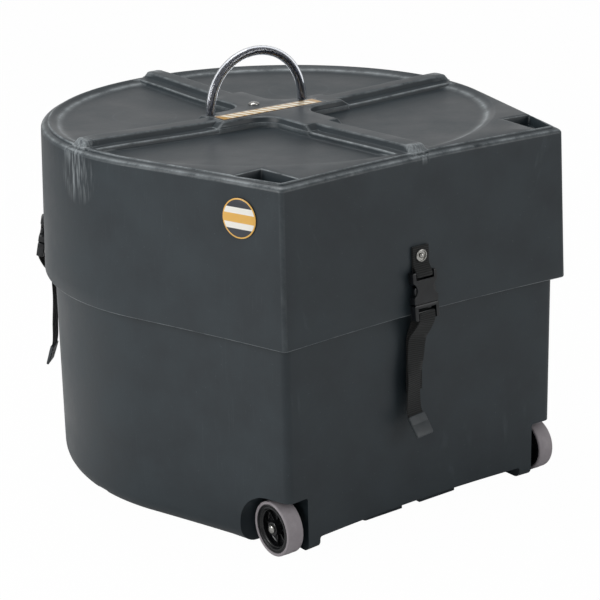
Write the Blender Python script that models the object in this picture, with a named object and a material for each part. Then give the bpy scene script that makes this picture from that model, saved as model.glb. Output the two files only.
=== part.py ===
"""Bass drum case: a moulded base and a telescoping lid, three buckled straps, two wheels, a rope handle.

Units are metres, +Z is up and the flat face looks along -Y. The circle of the plan is drawn about the
shells' own axis, and one empty carries everything to the middle of the whole outline.
"""
import math

import bmesh
import bpy
from mathutils import Matrix, Vector

# Plan of the shells: a circle at the back, a flat face in front, straight sides between them
SHELL_RADIUS = 0.300
FACE_DISTANCE = 0.303
FACE_HALF_WIDTH = 0.226
CORNER_ROUND = 0.024
ARC_STEPS = 40
CORNER_STEPS = 4
WALL = 0.0042

# Heights above the floor
FOOT_HEIGHT = 0.004
SKIRT_BOTTOM = 0.275
RIM_TOP = 0.473
RUNNING_GAP = 0.0003

# Lid edge: how far its wall stands out at the top and flares below, where its draft starts, its shoulder
WALL_OUT = 0.0035
SKIRT_FLARE = 0.0060
EDGE_STEPS = 3
EDGE_DEPTH = 0.009
SHOULDER_DROP = 0.0028
SHOULDER_WIDTH = 0.0050
RIM_INSET = 0.0066

# Lid panels: four dished quarters between the arms of a raised cross
DISH_RADIUS = 0.291
DISH_FLOOR_RADIUS = 0.268
DISH_DEPTH = 0.007
DISH_STEPS = 5
DISH_ARC_STEPS = 12
LEDGE_HALF = 0.028
LEDGE_CORNER = 0.030
PANEL_SKIN = 0.0045

# Raised cross: bar height and widths, its sag in the middle, how far its ends stay inside the wall
BAR_HEIGHT = 0.008
MIDDLE_SAG = 0.0045
BAR_TOP_HALF = 0.0120
BAR_FOOT_HALF = 0.0142
BAR_END_INSET = 0.003
BAR_EDGE = 0.0022
BAR_SINK = 0.006

# Centre block: arms as high as the bars and as wide as the ledges
BLOCK_REACH_X = 0.107
BLOCK_REACH_Y = 0.117
BLOCK_END_SLOPE = 0.010
BLOCK_INSET = 0.0004
BLOCK_DRAFT = 0.0012

# Pockets that take the wheels of a case stacked on top
POCKET_SETBACK = 0.011
POCKET_LENGTH = 0.058
POCKET_INSET = 0.044
POCKET_SIDE_RIM = 0.0165
POCKET_DEPTH = 0.014

# Base shell: fit inside the skirt, rounding of the lower edge at the back and at the front
BASE_INSET = 0.0035
BASE_TOP_INSET = 0.0055
BOTTOM_ROUND_BACK = 0.030
BOTTOM_ROUND_FRONT = 0.010
ROUND_STEPS = 5

# Cross groove under the base, which drops over the bars of the lid below
GROOVE_HALF = 0.0145
GROOVE_DEPTH = 0.011

# Front edge of the base is cut back above the floor, save for corner feet and two inner feet
FRONT_LIFT = 0.0150
FRONT_CUT_DEPTH = 0.045
INNER_FOOT_SETBACK = 0.022
INNER_FOOT_HALF = 0.066
CORNER_FOOT_INSET = 0.061

# Wheels and wheel wells
WHEEL_RADIUS = 0.0348
WHEEL_WIDTH = 0.0235
WHEEL_STEPS = 32
HUB_STEPS = 24
WHEEL_INSET = 0.0075
WHEEL_SETBACK = 0.024
TYRE_THICKNESS = 0.0040
TYRE_EDGE = 0.0018
HUB_BORE = 0.0045
HUB_INSET = 0.0010
HUB_RING_WIDTH = 0.0052
HUB_STEP_WIDTH = 0.0012
HUB_STEP_DEPTH = 0.0028
HUB_DISH_RADIUS = 0.0225
HUB_DISH_DEPTH = 0.0110
HUB_BACK_RIM = 0.0035
HUB_BACK_DEPTH = 0.0054
BOSS_RADIUS = 0.0088
BOSS_DROP = 0.0047
BOSS_DRAFT = 0.0010
WELL_INSET = 0.042
WELL_CLEARANCE = 0.0065
WELL_ARCH_ROUND = 0.026
WELL_ARCH_STEPS = 6
AXLE_RADIUS = 0.0040
AXLE_CLEARANCE = 0.0004
AXLE_HEAD_RADIUS = 0.0055
AXLE_HEAD_HEIGHT = 0.0036
AXLE_END = 0.0015
SPACER_RADIUS = 0.0080
NUT_RADIUS = 0.0075
NUT_HEIGHT = 0.0065

# Handle: rope in a clear sleeve, bent to half an ellipse
HANDLE_HALF_SPAN = 0.074
HANDLE_X = -0.0115
HANDLE_Y = 0.0192
HANDLE_RISE = 0.073
SLEEVE_RADIUS = 0.00625
ROPE_RADIUS = 0.0038
SLEEVE_SOCKET_DEPTH = 0.003
HANDLE_STATIONS = 20
SLEEVE_SIDES = 10
ROPE_SIDES = 8
ROPE_HOLE_CLEARANCE = 0.0005
STOP_RADIUS = 0.0055
STOP_CLEARANCE = 0.0004
STOP_HEIGHT = 0.010
ROPE_TAIL = 0.003

# Label strip, badge and centre screw
LABEL_PAST_HANDLE = 0.008
LABEL_WIDTH = 0.031
LABEL_THICKNESS = 0.0009
LABEL_X = -0.0097
LABEL_Y = -0.0052
LABEL_GAP = 0.0005
BADGE_RADIUS = 0.024
BADGE_THICKNESS = 0.0007
BADGE_ALONG_WALL = 0.0424
BADGE_HEIGHT = 0.4266
SCREW_X = -0.0090
SCREW_Y = 0.0300
SCREW_HEAD_RADIUS = 0.0072
SCREW_HEAD_HEIGHT = 0.0034
SCREW_END = 0.002
SCREW_RADIUS = 0.0025
SCREW_NUT_RADIUS = 0.0060
SCREW_NUT_HEIGHT = 0.0045

# Straps: where they sit, the webbing, its rivets
FRONT_ANGLE = 270.0
FRONT_STRAP_X = -0.0080
REAR_ANGLE = 45.0
WEB_WIDTH = 0.0252
WEB_THICKNESS = 0.0016
LID_RIVET_Z = 0.349
LID_WEB_TOP = 0.364
BASE_RIVET_Z = 0.186
BASE_WEB_BOTTOM = 0.170
BASE_WEB_BEND = 0.244
RIVET_RADIUS = 0.0020
RIVET_HEAD_RADIUS = 0.0042
RIVET_HEAD_HEIGHT = 0.0021
RIVET_HOLE_CLEARANCE = 0.0005
CUP_RADIUS = 0.0082
CUP_HEIGHT = 0.0020
BURR_RADIUS = 0.0058
BURR_THICKNESS = 0.0011
CLINCH_RADIUS = 0.0033
CLINCH_HEIGHT = 0.0008

# Side release buckle: it hangs from its loop bar and leans out below
BUCKLE_WIDTH = 0.038
BUCKLE_THICKNESS = 0.0096
BUCKLE_LEAN = 11.0
LOOP_BAR_Z = 0.324
LOOP_BAR_OUT = 0.0060
SOCKET_LENGTH = 0.0445
SOCKET_MOUTH_DEPTH = 0.0205
SOCKET_WALL = 0.0013
SOCKET_SIDE = 0.0032
SLOT_HALF = 0.0140
SLOT_HEIGHT = 0.0150
LOOP_BAR_RADIUS = 0.0024
SCALLOP_RADIUS = 0.0100
SCALLOP_DEPTH = 0.0055
SCALLOP_HEIGHT = 0.0125
PLUG_LENGTH = 0.0205
PLUG_HEAD = 0.0045
KEEPER_HEIGHT = 0.0035
KEEPER_THICKNESS = 0.0018
LADDER_DROP = 0.0115
LADDER_RADIUS = 0.0021
PRONG_LENGTH = 0.0160
PRONG_WIDTH = 0.0040
PRONG_GAP = 0.0004
GUIDE_HALF = 0.0015
BUCKLE_EDGE = 0.0012
WRAP_STEPS = 6

# Tail of the webbing below the buckle, as (out from the plan, up) stations and the lean of its end in degrees,
# and the strap tip on its end; the rear tails hang straighter and lower
FRONT_TAIL = ((0.0215, 0.2545), (0.0130, 0.2430), (0.0105, 0.2200), (0.0105, 0.1700), (0.0125, 0.1540))
FRONT_TAIL_LEAN = 24.0
REAR_TAIL = ((0.0215, 0.2545), (0.0130, 0.2430), (0.0106, 0.2200), (0.0135, 0.1700), (0.0155, 0.1410))
REAR_TAIL_LEAN = 16.0
TAIL_LAST_RUN = 0.013
TIP_LENGTH = 0.028
TIP_WIDTH = 0.0285
TIP_THICKNESS = 0.0046
TIP_POCKET_DEPTH = 0.0105
TIP_SEAT_GAP = 0.0020

# Each strap: name, angle round the shells, place along the wall, tail and its lean
STRAPS = (("front", FRONT_ANGLE, FRONT_STRAP_X, FRONT_TAIL, FRONT_TAIL_LEAN),
          ("left", 180.0 - REAR_ANGLE, 0.0, REAR_TAIL, REAR_TAIL_LEAN),
          ("right", REAR_ANGLE, 0.0, REAR_TAIL, REAR_TAIL_LEAN))

# Finishes: colour, roughness, metallic
FINISHES = {
    "case_plastic": ((0.045, 0.050, 0.055), 0.55, 0.0),
    "buckle_plastic": ((0.020, 0.021, 0.023), 0.40, 0.0),
    "webbing": ((0.018, 0.018, 0.018), 0.85, 0.0),
    "tip_plastic": ((0.060, 0.066, 0.070), 0.50, 0.0),
    "steel": ((0.62, 0.62, 0.61), 0.25, 1.0),
    "tyre_rubber": ((0.33, 0.31, 0.32), 0.70, 0.0),
    "hub_plastic": ((0.012, 0.012, 0.014), 0.22, 0.0),
    "sleeve_clear": ((0.70, 0.72, 0.75), 0.10, 0.0),
    "rope": ((0.02, 0.02, 0.03), 0.80, 0.0),
    "label": ((0.60, 0.40, 0.12), 0.35, 0.0),
}

# Values worked out from the sizes above
BLOCK_TOP = RIM_TOP + BAR_HEIGHT - MIDDLE_SAG
PANEL_UNDERSIDE = RIM_TOP - DISH_DEPTH - PANEL_SKIN
POCKET_UNDERSIDE = RIM_TOP - POCKET_DEPTH - PANEL_SKIN
BASE_TOP = POCKET_UNDERSIDE - RUNNING_GAP
WHEEL_OUTER_X = FACE_HALF_WIDTH - WHEEL_INSET
WHEEL_Y = WHEEL_SETBACK - FACE_DISTANCE
WELL_SIDE_X = FACE_HALF_WIDTH - WELL_INSET
WELL_TOP = 2 * WHEEL_RADIUS + WELL_CLEARANCE
WELL_BACK = -WHEEL_Y - WHEEL_RADIUS - WELL_CLEARANCE
POCKET_FRONT = FACE_DISTANCE - POCKET_SETBACK
POCKET_BACK = POCKET_FRONT - POCKET_LENGTH
LABEL_LENGTH = 2 * (HANDLE_HALF_SPAN + LABEL_PAST_HANDLE)
SIDE_ANGLE = (math.atan2(-FACE_DISTANCE, FACE_HALF_WIDTH)
              + math.acos(SHELL_RADIUS / math.hypot(FACE_HALF_WIDTH, FACE_DISTANCE)))
ARC_STEP = (math.pi - 2 * SIDE_ANGLE) / ARC_STEPS
SKIRT_DRAFT = math.atan2(SKIRT_FLARE, RIM_TOP - EDGE_DEPTH - SKIRT_BOTTOM)
BUCKLE_HALF = BUCKLE_THICKNESS / 2
LEAN = math.radians(BUCKLE_LEAN)
SOCKET_HIGH = LOOP_BAR_RADIUS + BUCKLE_EDGE
PARTING = SOCKET_HIGH - SOCKET_LENGTH
PLUG_LOW = PARTING - PLUG_LENGTH
LADDER_AT = PARTING - LADDER_DROP
LOOP_BAR_Y = (WALL_OUT + SKIRT_FLARE * (RIM_TOP - EDGE_DEPTH - LOOP_BAR_Z) / (RIM_TOP - EDGE_DEPTH - SKIRT_BOTTOM)
              + LOOP_BAR_OUT)
FRONT_REACH = FACE_DISTANCE + LOOP_BAR_Y - PLUG_LOW * math.sin(LEAN) + BUCKLE_HALF * math.cos(LEAN)
BACK_REACH = SHELL_RADIUS + WALL_OUT + SKIRT_FLARE
CENTRE_SHIFT = (FRONT_REACH - BACK_REACH) / 2
CUT_MARGIN = 0.006


def clear_scene():
    for item in list(bpy.data.objects):
        bpy.data.objects.remove(item, do_unlink=True)


def make_finish(name):
    colour, roughness, metallic = FINISHES[name]
    finish = bpy.data.materials.new(name)
    finish.use_nodes = True
    shader = finish.node_tree.nodes["Principled BSDF"]
    shader.inputs["Base Color"].default_value = (*colour, 1.0)
    shader.inputs["Roughness"].default_value = roughness
    shader.inputs["Metallic"].default_value = metallic
    return finish


def make_empty(name, parent=None, location=(0, 0, 0), turn=0.0):
    empty = bpy.data.objects.new(name, None)
    empty.location = location
    empty.rotation_euler = (0, 0, turn)
    empty.parent = parent
    bpy.context.collection.objects.link(empty)
    return empty


def add_object(name, bm, finish=None, parent=None, location=(0, 0, 0), rotation=None, smooth_angle=32.0):
    """Turn a bmesh into a named object; one without a finish is a hidden cutter."""
    bmesh.ops.recalc_face_normals(bm, faces=bm.faces)
    mesh = bpy.data.meshes.new(name)
    bm.to_mesh(mesh)
    bm.free()
    mesh.shade_smooth()
    mesh.set_sharp_from_angle(angle=math.radians(smooth_angle))
    item = bpy.data.objects.new(name, mesh)
    item.location = location
    if rotation is not None:
        item.rotation_euler = rotation
    item.parent = parent
    bpy.context.collection.objects.link(item)
    if finish is None:
        item.hide_render = True
        item.display_type = 'WIRE'
    else:
        mesh.materials.append(finish)
    return item


def combine(item, operand, operation='DIFFERENCE'):
    change = item.modifiers.new(operand.name, 'BOOLEAN')
    change.operation = operation
    change.solver = 'EXACT'
    change.object = operand


def bevel_edges(item, width, segments=1):
    soften = item.modifiers.new("edge", 'BEVEL')
    soften.width = width
    soften.segments = segments
    soften.limit_method = 'ANGLE'
    soften.angle_limit = math.radians(40)


def loft(rings):
    """Skin a stack of rings that hold the same number of points, with flat ends."""
    bm = bmesh.new()
    rows = [[bm.verts.new(point) for point in ring] for ring in rings]
    for low, high in zip(rows, rows[1:]):
        for i in range(len(low)):
            j = (i + 1) % len(low)
            bm.faces.new((low[i], low[j], high[j], high[i]))
    bm.faces.new(list(reversed(rows[0])))
    bm.faces.new(rows[-1])
    return bm


def prism(points, low, high):
    return loft([[(x, y, z) for x, y in points] for z in (low, high)])


def box(x0, x1, y0, y1, z0, z1):
    return prism([(x0, y0), (x1, y0), (x1, y1), (x0, y1)], z0, z1)


def merge(*parts):
    """Put bmeshes that don't touch into one."""
    whole = bmesh.new()
    for part in parts:
        piece = bpy.data.meshes.new("piece")
        part.to_mesh(piece)
        part.free()
        whole.from_mesh(piece)
        bpy.data.meshes.remove(piece)
    return whole


def moved(bm, matrix):
    bmesh.ops.transform(bm, matrix=matrix, verts=bm.verts)
    return bm


def lathe(profile, steps):
    """Turn a closed profile of (radius, height) points about Z; a radius of 0 makes a pole."""
    bm = bmesh.new()
    rows = []
    for radius, height in profile:
        if radius == 0:
            rows.append([bm.verts.new((0, 0, height))])
        else:
            turns = [2 * math.pi * k / steps for k in range(steps)]
            rows.append([bm.verts.new((radius * math.cos(a), radius * math.sin(a), height)) for a in turns])
    for k, row in enumerate(rows):
        after = rows[(k + 1) % len(rows)]
        if len(row) == 1 and len(after) == 1:
            continue
        for i in range(steps):
            j = (i + 1) % steps
            corners = [row[i % len(row)], row[j % len(row)], after[j % len(after)], after[i % len(after)]]
            bm.faces.new(list(dict.fromkeys(corners)))
    return bm


def rod(radius, low, high, steps):
    return lathe([(0, low), (radius, low), (radius, high), (0, high)], steps)


def nut_ring(outer, bore, low, high):
    """A hexagon nut with a bore of twice as many sides."""
    sides = 6
    steps = sides * 2
    bm = bmesh.new()
    rows = []
    for radius, height, faceted in ((outer, low, True), (outer, high, True), (bore, high, False), (bore, low, False)):
        row = []
        for k in range(steps):
            angle = 2 * math.pi * k / steps
            reach = radius * (math.cos(math.pi / sides) if faceted and k % 2 else 1.0)
            row.append(bm.verts.new((reach * math.cos(angle), reach * math.sin(angle), height)))
        rows.append(row)
    for k, row in enumerate(rows):
        after = rows[(k + 1) % len(rows)]
        for i in range(steps):
            j = (i + 1) % steps
            bm.faces.new((row[i], row[j], after[j], after[i]))
    return bm


def arc_of_outline():
    """The plan as (centre x, centre y, radius, angle, is_back) stations, anticlockwise."""
    corner_y = -FACE_DISTANCE + CORNER_ROUND
    corner_x = (SHELL_RADIUS - CORNER_ROUND - corner_y * math.sin(SIDE_ANGLE)) / math.cos(SIDE_ANGLE)
    stations = []
    for k in range(CORNER_STEPS + 1):
        angle = -math.pi / 2 + (SIDE_ANGLE + math.pi / 2) * k / CORNER_STEPS
        stations.append((corner_x, corner_y, CORNER_ROUND, angle, False))
    for k in range(ARC_STEPS + 1):
        angle = SIDE_ANGLE + ARC_STEP * k
        stations.append((0.0, 0.0, SHELL_RADIUS, angle, True))
    for k in range(CORNER_STEPS + 1):
        angle = math.pi - SIDE_ANGLE + (SIDE_ANGLE + math.pi / 2) * k / CORNER_STEPS
        stations.append((-corner_x, corner_y, CORNER_ROUND, angle, False))
    return stations


OUTLINE = arc_of_outline()


def ring_at(height, offset):
    """The plan moved outwards by offset, at one height."""
    return [(cx + (r + offset) * math.cos(a), cy + (r + offset) * math.sin(a), height)
            for cx, cy, r, a, _ in OUTLINE]


def rounded_bottom(low, offset, shrink):
    """Rings of the base's lower edge; its rounding is large at the back and small in front."""
    rings = []
    for k in range(ROUND_STEPS + 1):
        angle = math.pi / 2 * k / ROUND_STEPS
        ring = []
        for cx, cy, r, a, is_back in OUTLINE:
            rounding = (BOTTOM_ROUND_BACK if is_back else BOTTOM_ROUND_FRONT) - shrink
            reach = r + offset - rounding * (1 - math.sin(angle))
            height = low + rounding * (1 - math.cos(angle))
            ring.append((cx + reach * math.cos(a), cy + reach * math.sin(a), height))
        rings.append(ring)
    return rings


def cross_outline(half, reach_x, reach_front, reach_back):
    return [(half, -reach_front), (half, -half), (reach_x, -half), (reach_x, half), (half, half),
            (half, reach_back), (-half, reach_back), (-half, half), (-reach_x, half), (-reach_x, -half),
            (-half, -half), (-half, -reach_front)]


def dish_outline(side, corner, radius):
    """One quarter panel between two arms of the cross, in the quadrant +X +Y."""
    middle = side + corner
    points = []
    for k in range(DISH_STEPS + 1):
        angle = math.pi + math.pi / 2 * k / DISH_STEPS
        points.append((middle + corner * math.cos(angle), middle + corner * math.sin(angle)))
    start = math.asin(side / radius)
    for k in range(DISH_ARC_STEPS + 1):
        angle = start + (math.pi / 2 - 2 * start) * k / DISH_ARC_STEPS
        points.append((radius * math.cos(angle), radius * math.sin(angle)))
    return points


def dish_cutter():
    """The dished quarter: a slope that eases from the rim down to a flat floor."""
    rings = [(RIM_TOP + CUT_MARGIN, DISH_RADIUS)]
    for k in range(DISH_STEPS + 1):
        share = k / DISH_STEPS
        drop = DISH_DEPTH * math.sin(share * math.pi / 2)
        rings.append((RIM_TOP - drop, DISH_RADIUS - (DISH_RADIUS - DISH_FLOOR_RADIUS) * share))
    rings.reverse()
    return loft([[(x, y, z) for x, y in dish_outline(LEDGE_HALF, LEDGE_CORNER, radius)] for z, radius in rings])


def pocket_outline(grow):
    """Wheel pocket in the right front corner: its outer edge follows the side of the case."""
    back = -POCKET_BACK + grow
    front = -POCKET_FRONT - grow
    inner = FACE_HALF_WIDTH - POCKET_INSET - grow
    reach = SHELL_RADIUS - POCKET_SIDE_RIM + grow

    def side_x(y):
        return (reach - y * math.sin(SIDE_ANGLE)) / math.cos(SIDE_ANGLE)
    return [(inner, front), (side_x(front), front), (side_x(back), back), (inner, back)]


def mirrored(points):
    return [(-x, y) for x, y in reversed(points)]


def both_sides(points, low, high):
    return merge(prism(points, low, high), prism(mirrored(points), low, high))


def block_rings():
    """The centre block: a filleted cross whose four ends slope down to the ledges."""
    rings = []
    for z, reach_cut, inset in ((RIM_TOP - BAR_SINK, 0.0, BLOCK_INSET), (RIM_TOP, 0.0, BLOCK_INSET),
                                (BLOCK_TOP, BLOCK_END_SLOPE, BLOCK_INSET + BLOCK_DRAFT)):
        half = LEDGE_HALF - inset
        middle = LEDGE_HALF + LEDGE_CORNER
        fillet = LEDGE_CORNER + inset
        reach_x = BLOCK_REACH_X - reach_cut
        reach_y = BLOCK_REACH_Y - reach_cut
        quadrant = [(reach_x, half)]
        for k in range(DISH_STEPS + 1):
            angle = 1.5 * math.pi - math.pi / 2 * k / DISH_STEPS
            quadrant.append((middle + fillet * math.cos(angle), middle + fillet * math.sin(angle)))
        quadrant.append((half, reach_y))
        points = list(quadrant)
        points += [(-x, y) for x, y in reversed(quadrant)]
        points += [(-x, -y) for x, y in quadrant]
        points += [(x, -y) for x, y in reversed(quadrant)]
        rings.append([(x, y, z) for x, y in points])
    return rings


def bar_solid(reach_low, reach_high, middle, along_x):
    """One bar of the cross, from -reach_low to reach_high, with sides that lean in and a middle that sags."""
    low = RIM_TOP - BAR_SINK
    lean = (BAR_FOOT_HALF - BAR_TOP_HALF) * (BAR_SINK + BAR_HEIGHT) / BAR_HEIGHT
    rings = []
    for x, top in ((-reach_low, BLOCK_TOP + MIDDLE_SAG), (-middle, BLOCK_TOP), (middle, BLOCK_TOP),
                   (reach_high, BLOCK_TOP + MIDDLE_SAG)):
        foot = BAR_TOP_HALF + lean
        section = [(-foot, low), (foot, low), (BAR_TOP_HALF, top), (-BAR_TOP_HALF, top)]
        rings.append([(x, y, z) if along_x else (-y, x, z) for y, z in section])
    return loft(rings)


def skirt_offset(z):
    """How far the lid's wall stands outside the plan at height z."""
    start = RIM_TOP - EDGE_DEPTH
    return WALL_OUT + SKIRT_FLARE * max(0.0, (start - z) / (start - SKIRT_BOTTOM))


def strap_matrix(angle, along):
    """From a strap's own frame (X along the wall, Y outwards, Z up) to the shells', on a flat of the wall."""
    radians = math.radians(angle)
    reach = FACE_DISTANCE
    if angle != FRONT_ANGLE:
        radians = SIDE_ANGLE + ARC_STEP * (math.floor((radians - SIDE_ANGLE) / ARC_STEP) + 0.5)
        reach = SHELL_RADIUS * math.cos(ARC_STEP / 2)
    move = Matrix.Translation((reach * math.cos(radians), reach * math.sin(radians), 0))
    return move @ Matrix.Rotation(radians - math.pi / 2, 4, 'Z') @ Matrix.Translation((-along, 0, 0))


def wall_axis(z, offset, lean):
    """A frame on a wall: Z along the outward normal, which leans up by lean."""
    return Matrix.Translation((0, offset, z)) @ Matrix.Rotation(lean - math.pi / 2, 4, 'X')


def rivet_hole(z, offset, lean):
    hole = rod(RIVET_RADIUS + RIVET_HOLE_CLEARANCE, -WALL - CUT_MARGIN, CUT_MARGIN, 12)
    return moved(hole, wall_axis(z, offset, lean))


def build_lid(finish, frame):
    edge = RIM_TOP - EDGE_DEPTH
    rings = [ring_at(SKIRT_BOTTOM, skirt_offset(SKIRT_BOTTOM)), ring_at(edge, WALL_OUT)]
    for k in range(1, EDGE_STEPS + 1):
        angle = math.pi / 2 * k / EDGE_STEPS
        rings.append(ring_at(edge + (EDGE_DEPTH - SHOULDER_DROP) * math.sin(angle),
                             WALL_OUT - (WALL_OUT + SHOULDER_WIDTH) * (1 - math.cos(angle))))
    rings.append(ring_at(RIM_TOP, -RIM_INSET))
    lid = add_object("lid_shell", loft(rings), finish, frame)

    dishes = add_object("lid_dishes", merge(*[
        moved(dish_cutter(), Matrix.Rotation(math.pi / 2 * k, 4, 'Z')) for k in range(4)]), parent=frame)
    combine(lid, dishes)
    back_end = SHELL_RADIUS - BAR_END_INSET
    front_end = FACE_DISTANCE - BAR_END_INSET
    bar_x = add_object("bar_x", bar_solid(back_end, back_end, BLOCK_REACH_X, True), parent=frame)
    bar_y = add_object("bar_y", bar_solid(front_end, back_end, BLOCK_REACH_Y, False), parent=frame)
    for bar in (bar_x, bar_y):
        bevel_edges(bar, BAR_EDGE, 2)
        combine(lid, bar, 'UNION')
    combine(lid, add_object("block", loft(block_rings()), parent=frame), 'UNION')
    pockets = both_sides(pocket_outline(0.0), RIM_TOP - POCKET_DEPTH, RIM_TOP + CUT_MARGIN)
    combine(lid, add_object("wheel_pockets", pockets, parent=frame))

    cavity = add_object("lid_cavity", loft([
        ring_at(SKIRT_BOTTOM - CUT_MARGIN, skirt_offset(SKIRT_BOTTOM) - WALL),
        ring_at(SKIRT_BOTTOM, skirt_offset(SKIRT_BOTTOM) - WALL),
        ring_at(PANEL_UNDERSIDE - EDGE_DEPTH / 2, skirt_offset(PANEL_UNDERSIDE - EDGE_DEPTH / 2) - WALL),
        ring_at(PANEL_UNDERSIDE, skirt_offset(PANEL_UNDERSIDE) - WALL - EDGE_DEPTH / 2)]), parent=frame)
    overlap = PANEL_UNDERSIDE - CUT_MARGIN
    ledge_hollow = LEDGE_HALF - WALL
    bar_hollow = BAR_TOP_HALF - BAR_EDGE
    reach = SHELL_RADIUS - 4 * WALL
    face_reach = FACE_DISTANCE - 4 * WALL
    for name, half, x_reach, y_front, y_back, top in (
            ("ledge_hollow", ledge_hollow, reach, face_reach, reach, RIM_TOP - PANEL_SKIN),
            ("bar_hollow", bar_hollow, reach + WALL, face_reach + WALL, reach + WALL, BLOCK_TOP - PANEL_SKIN),
            ("block_hollow", ledge_hollow - BLOCK_DRAFT, BLOCK_REACH_X - BLOCK_END_SLOPE - WALL,
             BLOCK_REACH_Y - BLOCK_END_SLOPE - WALL, BLOCK_REACH_Y - BLOCK_END_SLOPE - WALL,
             BLOCK_TOP - PANEL_SKIN - RUNNING_GAP)):
        hollow = add_object(name, prism(cross_outline(half, x_reach, y_front, y_back), overlap, top), parent=frame)
        combine(cavity, hollow, 'UNION')
        overlap += RUNNING_GAP
    room = STOP_RADIUS + STOP_CLEARANCE
    rooms = [box(foot - room, foot + room, 0.0, HANDLE_Y + room, overlap, BLOCK_TOP - PANEL_SKIN)
             for foot in (HANDLE_X - HANDLE_HALF_SPAN, HANDLE_X + HANDLE_HALF_SPAN)]
    stop_hollows = add_object("stop_hollows", merge(*rooms), parent=frame)
    combine(cavity, stop_hollows, 'UNION')
    pocket_walls = both_sides(pocket_outline(WALL), POCKET_UNDERSIDE, RIM_TOP + CUT_MARGIN)
    combine(cavity, add_object("pocket_walls", pocket_walls, parent=frame))
    combine(lid, cavity)

    recess = box(LABEL_X - LABEL_LENGTH / 2 - LABEL_GAP, LABEL_X + LABEL_LENGTH / 2 + LABEL_GAP,
                 LABEL_Y - LABEL_WIDTH / 2 - LABEL_GAP, LABEL_Y + LABEL_WIDTH / 2 + LABEL_GAP,
                 BLOCK_TOP - LABEL_THICKNESS - RUNNING_GAP, BLOCK_TOP + CUT_MARGIN)
    holes = [recess]
    for side in (-1, 1):
        foot = Matrix.Translation((HANDLE_X + side * HANDLE_HALF_SPAN, HANDLE_Y, 0))
        bore = ROPE_RADIUS + ROPE_HOLE_CLEARANCE
        seat = SLEEVE_RADIUS + RUNNING_GAP
        floor = BLOCK_TOP - SLEEVE_SOCKET_DEPTH
        holes.append(moved(lathe([(0, BLOCK_TOP - 2 * PANEL_SKIN), (bore, BLOCK_TOP - 2 * PANEL_SKIN),
                                  (bore, floor), (seat, floor), (seat, BLOCK_TOP + CUT_MARGIN),
                                  (0, BLOCK_TOP + CUT_MARGIN)], SLEEVE_SIDES), foot))
    screw_bore = SCREW_RADIUS + RIVET_HOLE_CLEARANCE
    holes.append(moved(rod(screw_bore, BLOCK_TOP - 2 * PANEL_SKIN, BLOCK_TOP + CUT_MARGIN, 12),
                       Matrix.Translation((SCREW_X, SCREW_Y, 0))))
    for _, angle, along, _, _ in STRAPS:
        hole = rivet_hole(LID_RIVET_Z, skirt_offset(LID_RIVET_Z), SKIRT_DRAFT)
        holes.append(moved(hole, strap_matrix(angle, along)))
    combine(lid, add_object("lid_holes", merge(*holes), parent=frame))
    return lid


def front_cut(grow, low):
    """What is cut away under the front edge: deep between the feet, shallow before the inner feet."""
    face = -FACE_DISTANCE - CUT_MARGIN
    deep = -FACE_DISTANCE + FRONT_CUT_DEPTH + grow
    shallow = -FACE_DISTANCE + INNER_FOOT_SETBACK + grow
    outer = FACE_HALF_WIDTH - CORNER_FOOT_INSET + grow
    inner = INNER_FOOT_HALF - grow
    points = [(-outer, face), (outer, face), (outer, deep), (inner, deep), (inner, shallow),
              (-inner, shallow), (-inner, deep), (-outer, deep)]
    return prism(points, low, FOOT_HEIGHT + FRONT_LIFT + grow)


def well_solid(grow, side):
    """Wheel well: open below, to the front and to the side, with an arched back corner."""
    back = -WELL_BACK + grow
    top = WELL_TOP + grow
    arch = WELL_ARCH_ROUND + grow
    front = -FACE_DISTANCE - CUT_MARGIN
    inner = WELL_SIDE_X - grow
    outer = SHELL_RADIUS
    profile = [(front, -CUT_MARGIN), (back, -CUT_MARGIN)]
    for k in range(WELL_ARCH_STEPS + 1):
        angle = math.pi / 2 * k / WELL_ARCH_STEPS
        profile.append((back - arch + arch * math.cos(angle), top - arch + arch * math.sin(angle)))
    profile.append((front, top))
    rings = [[(side * x, y, z) for y, z in profile] for x in (inner, outer)]
    return loft(rings)


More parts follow.
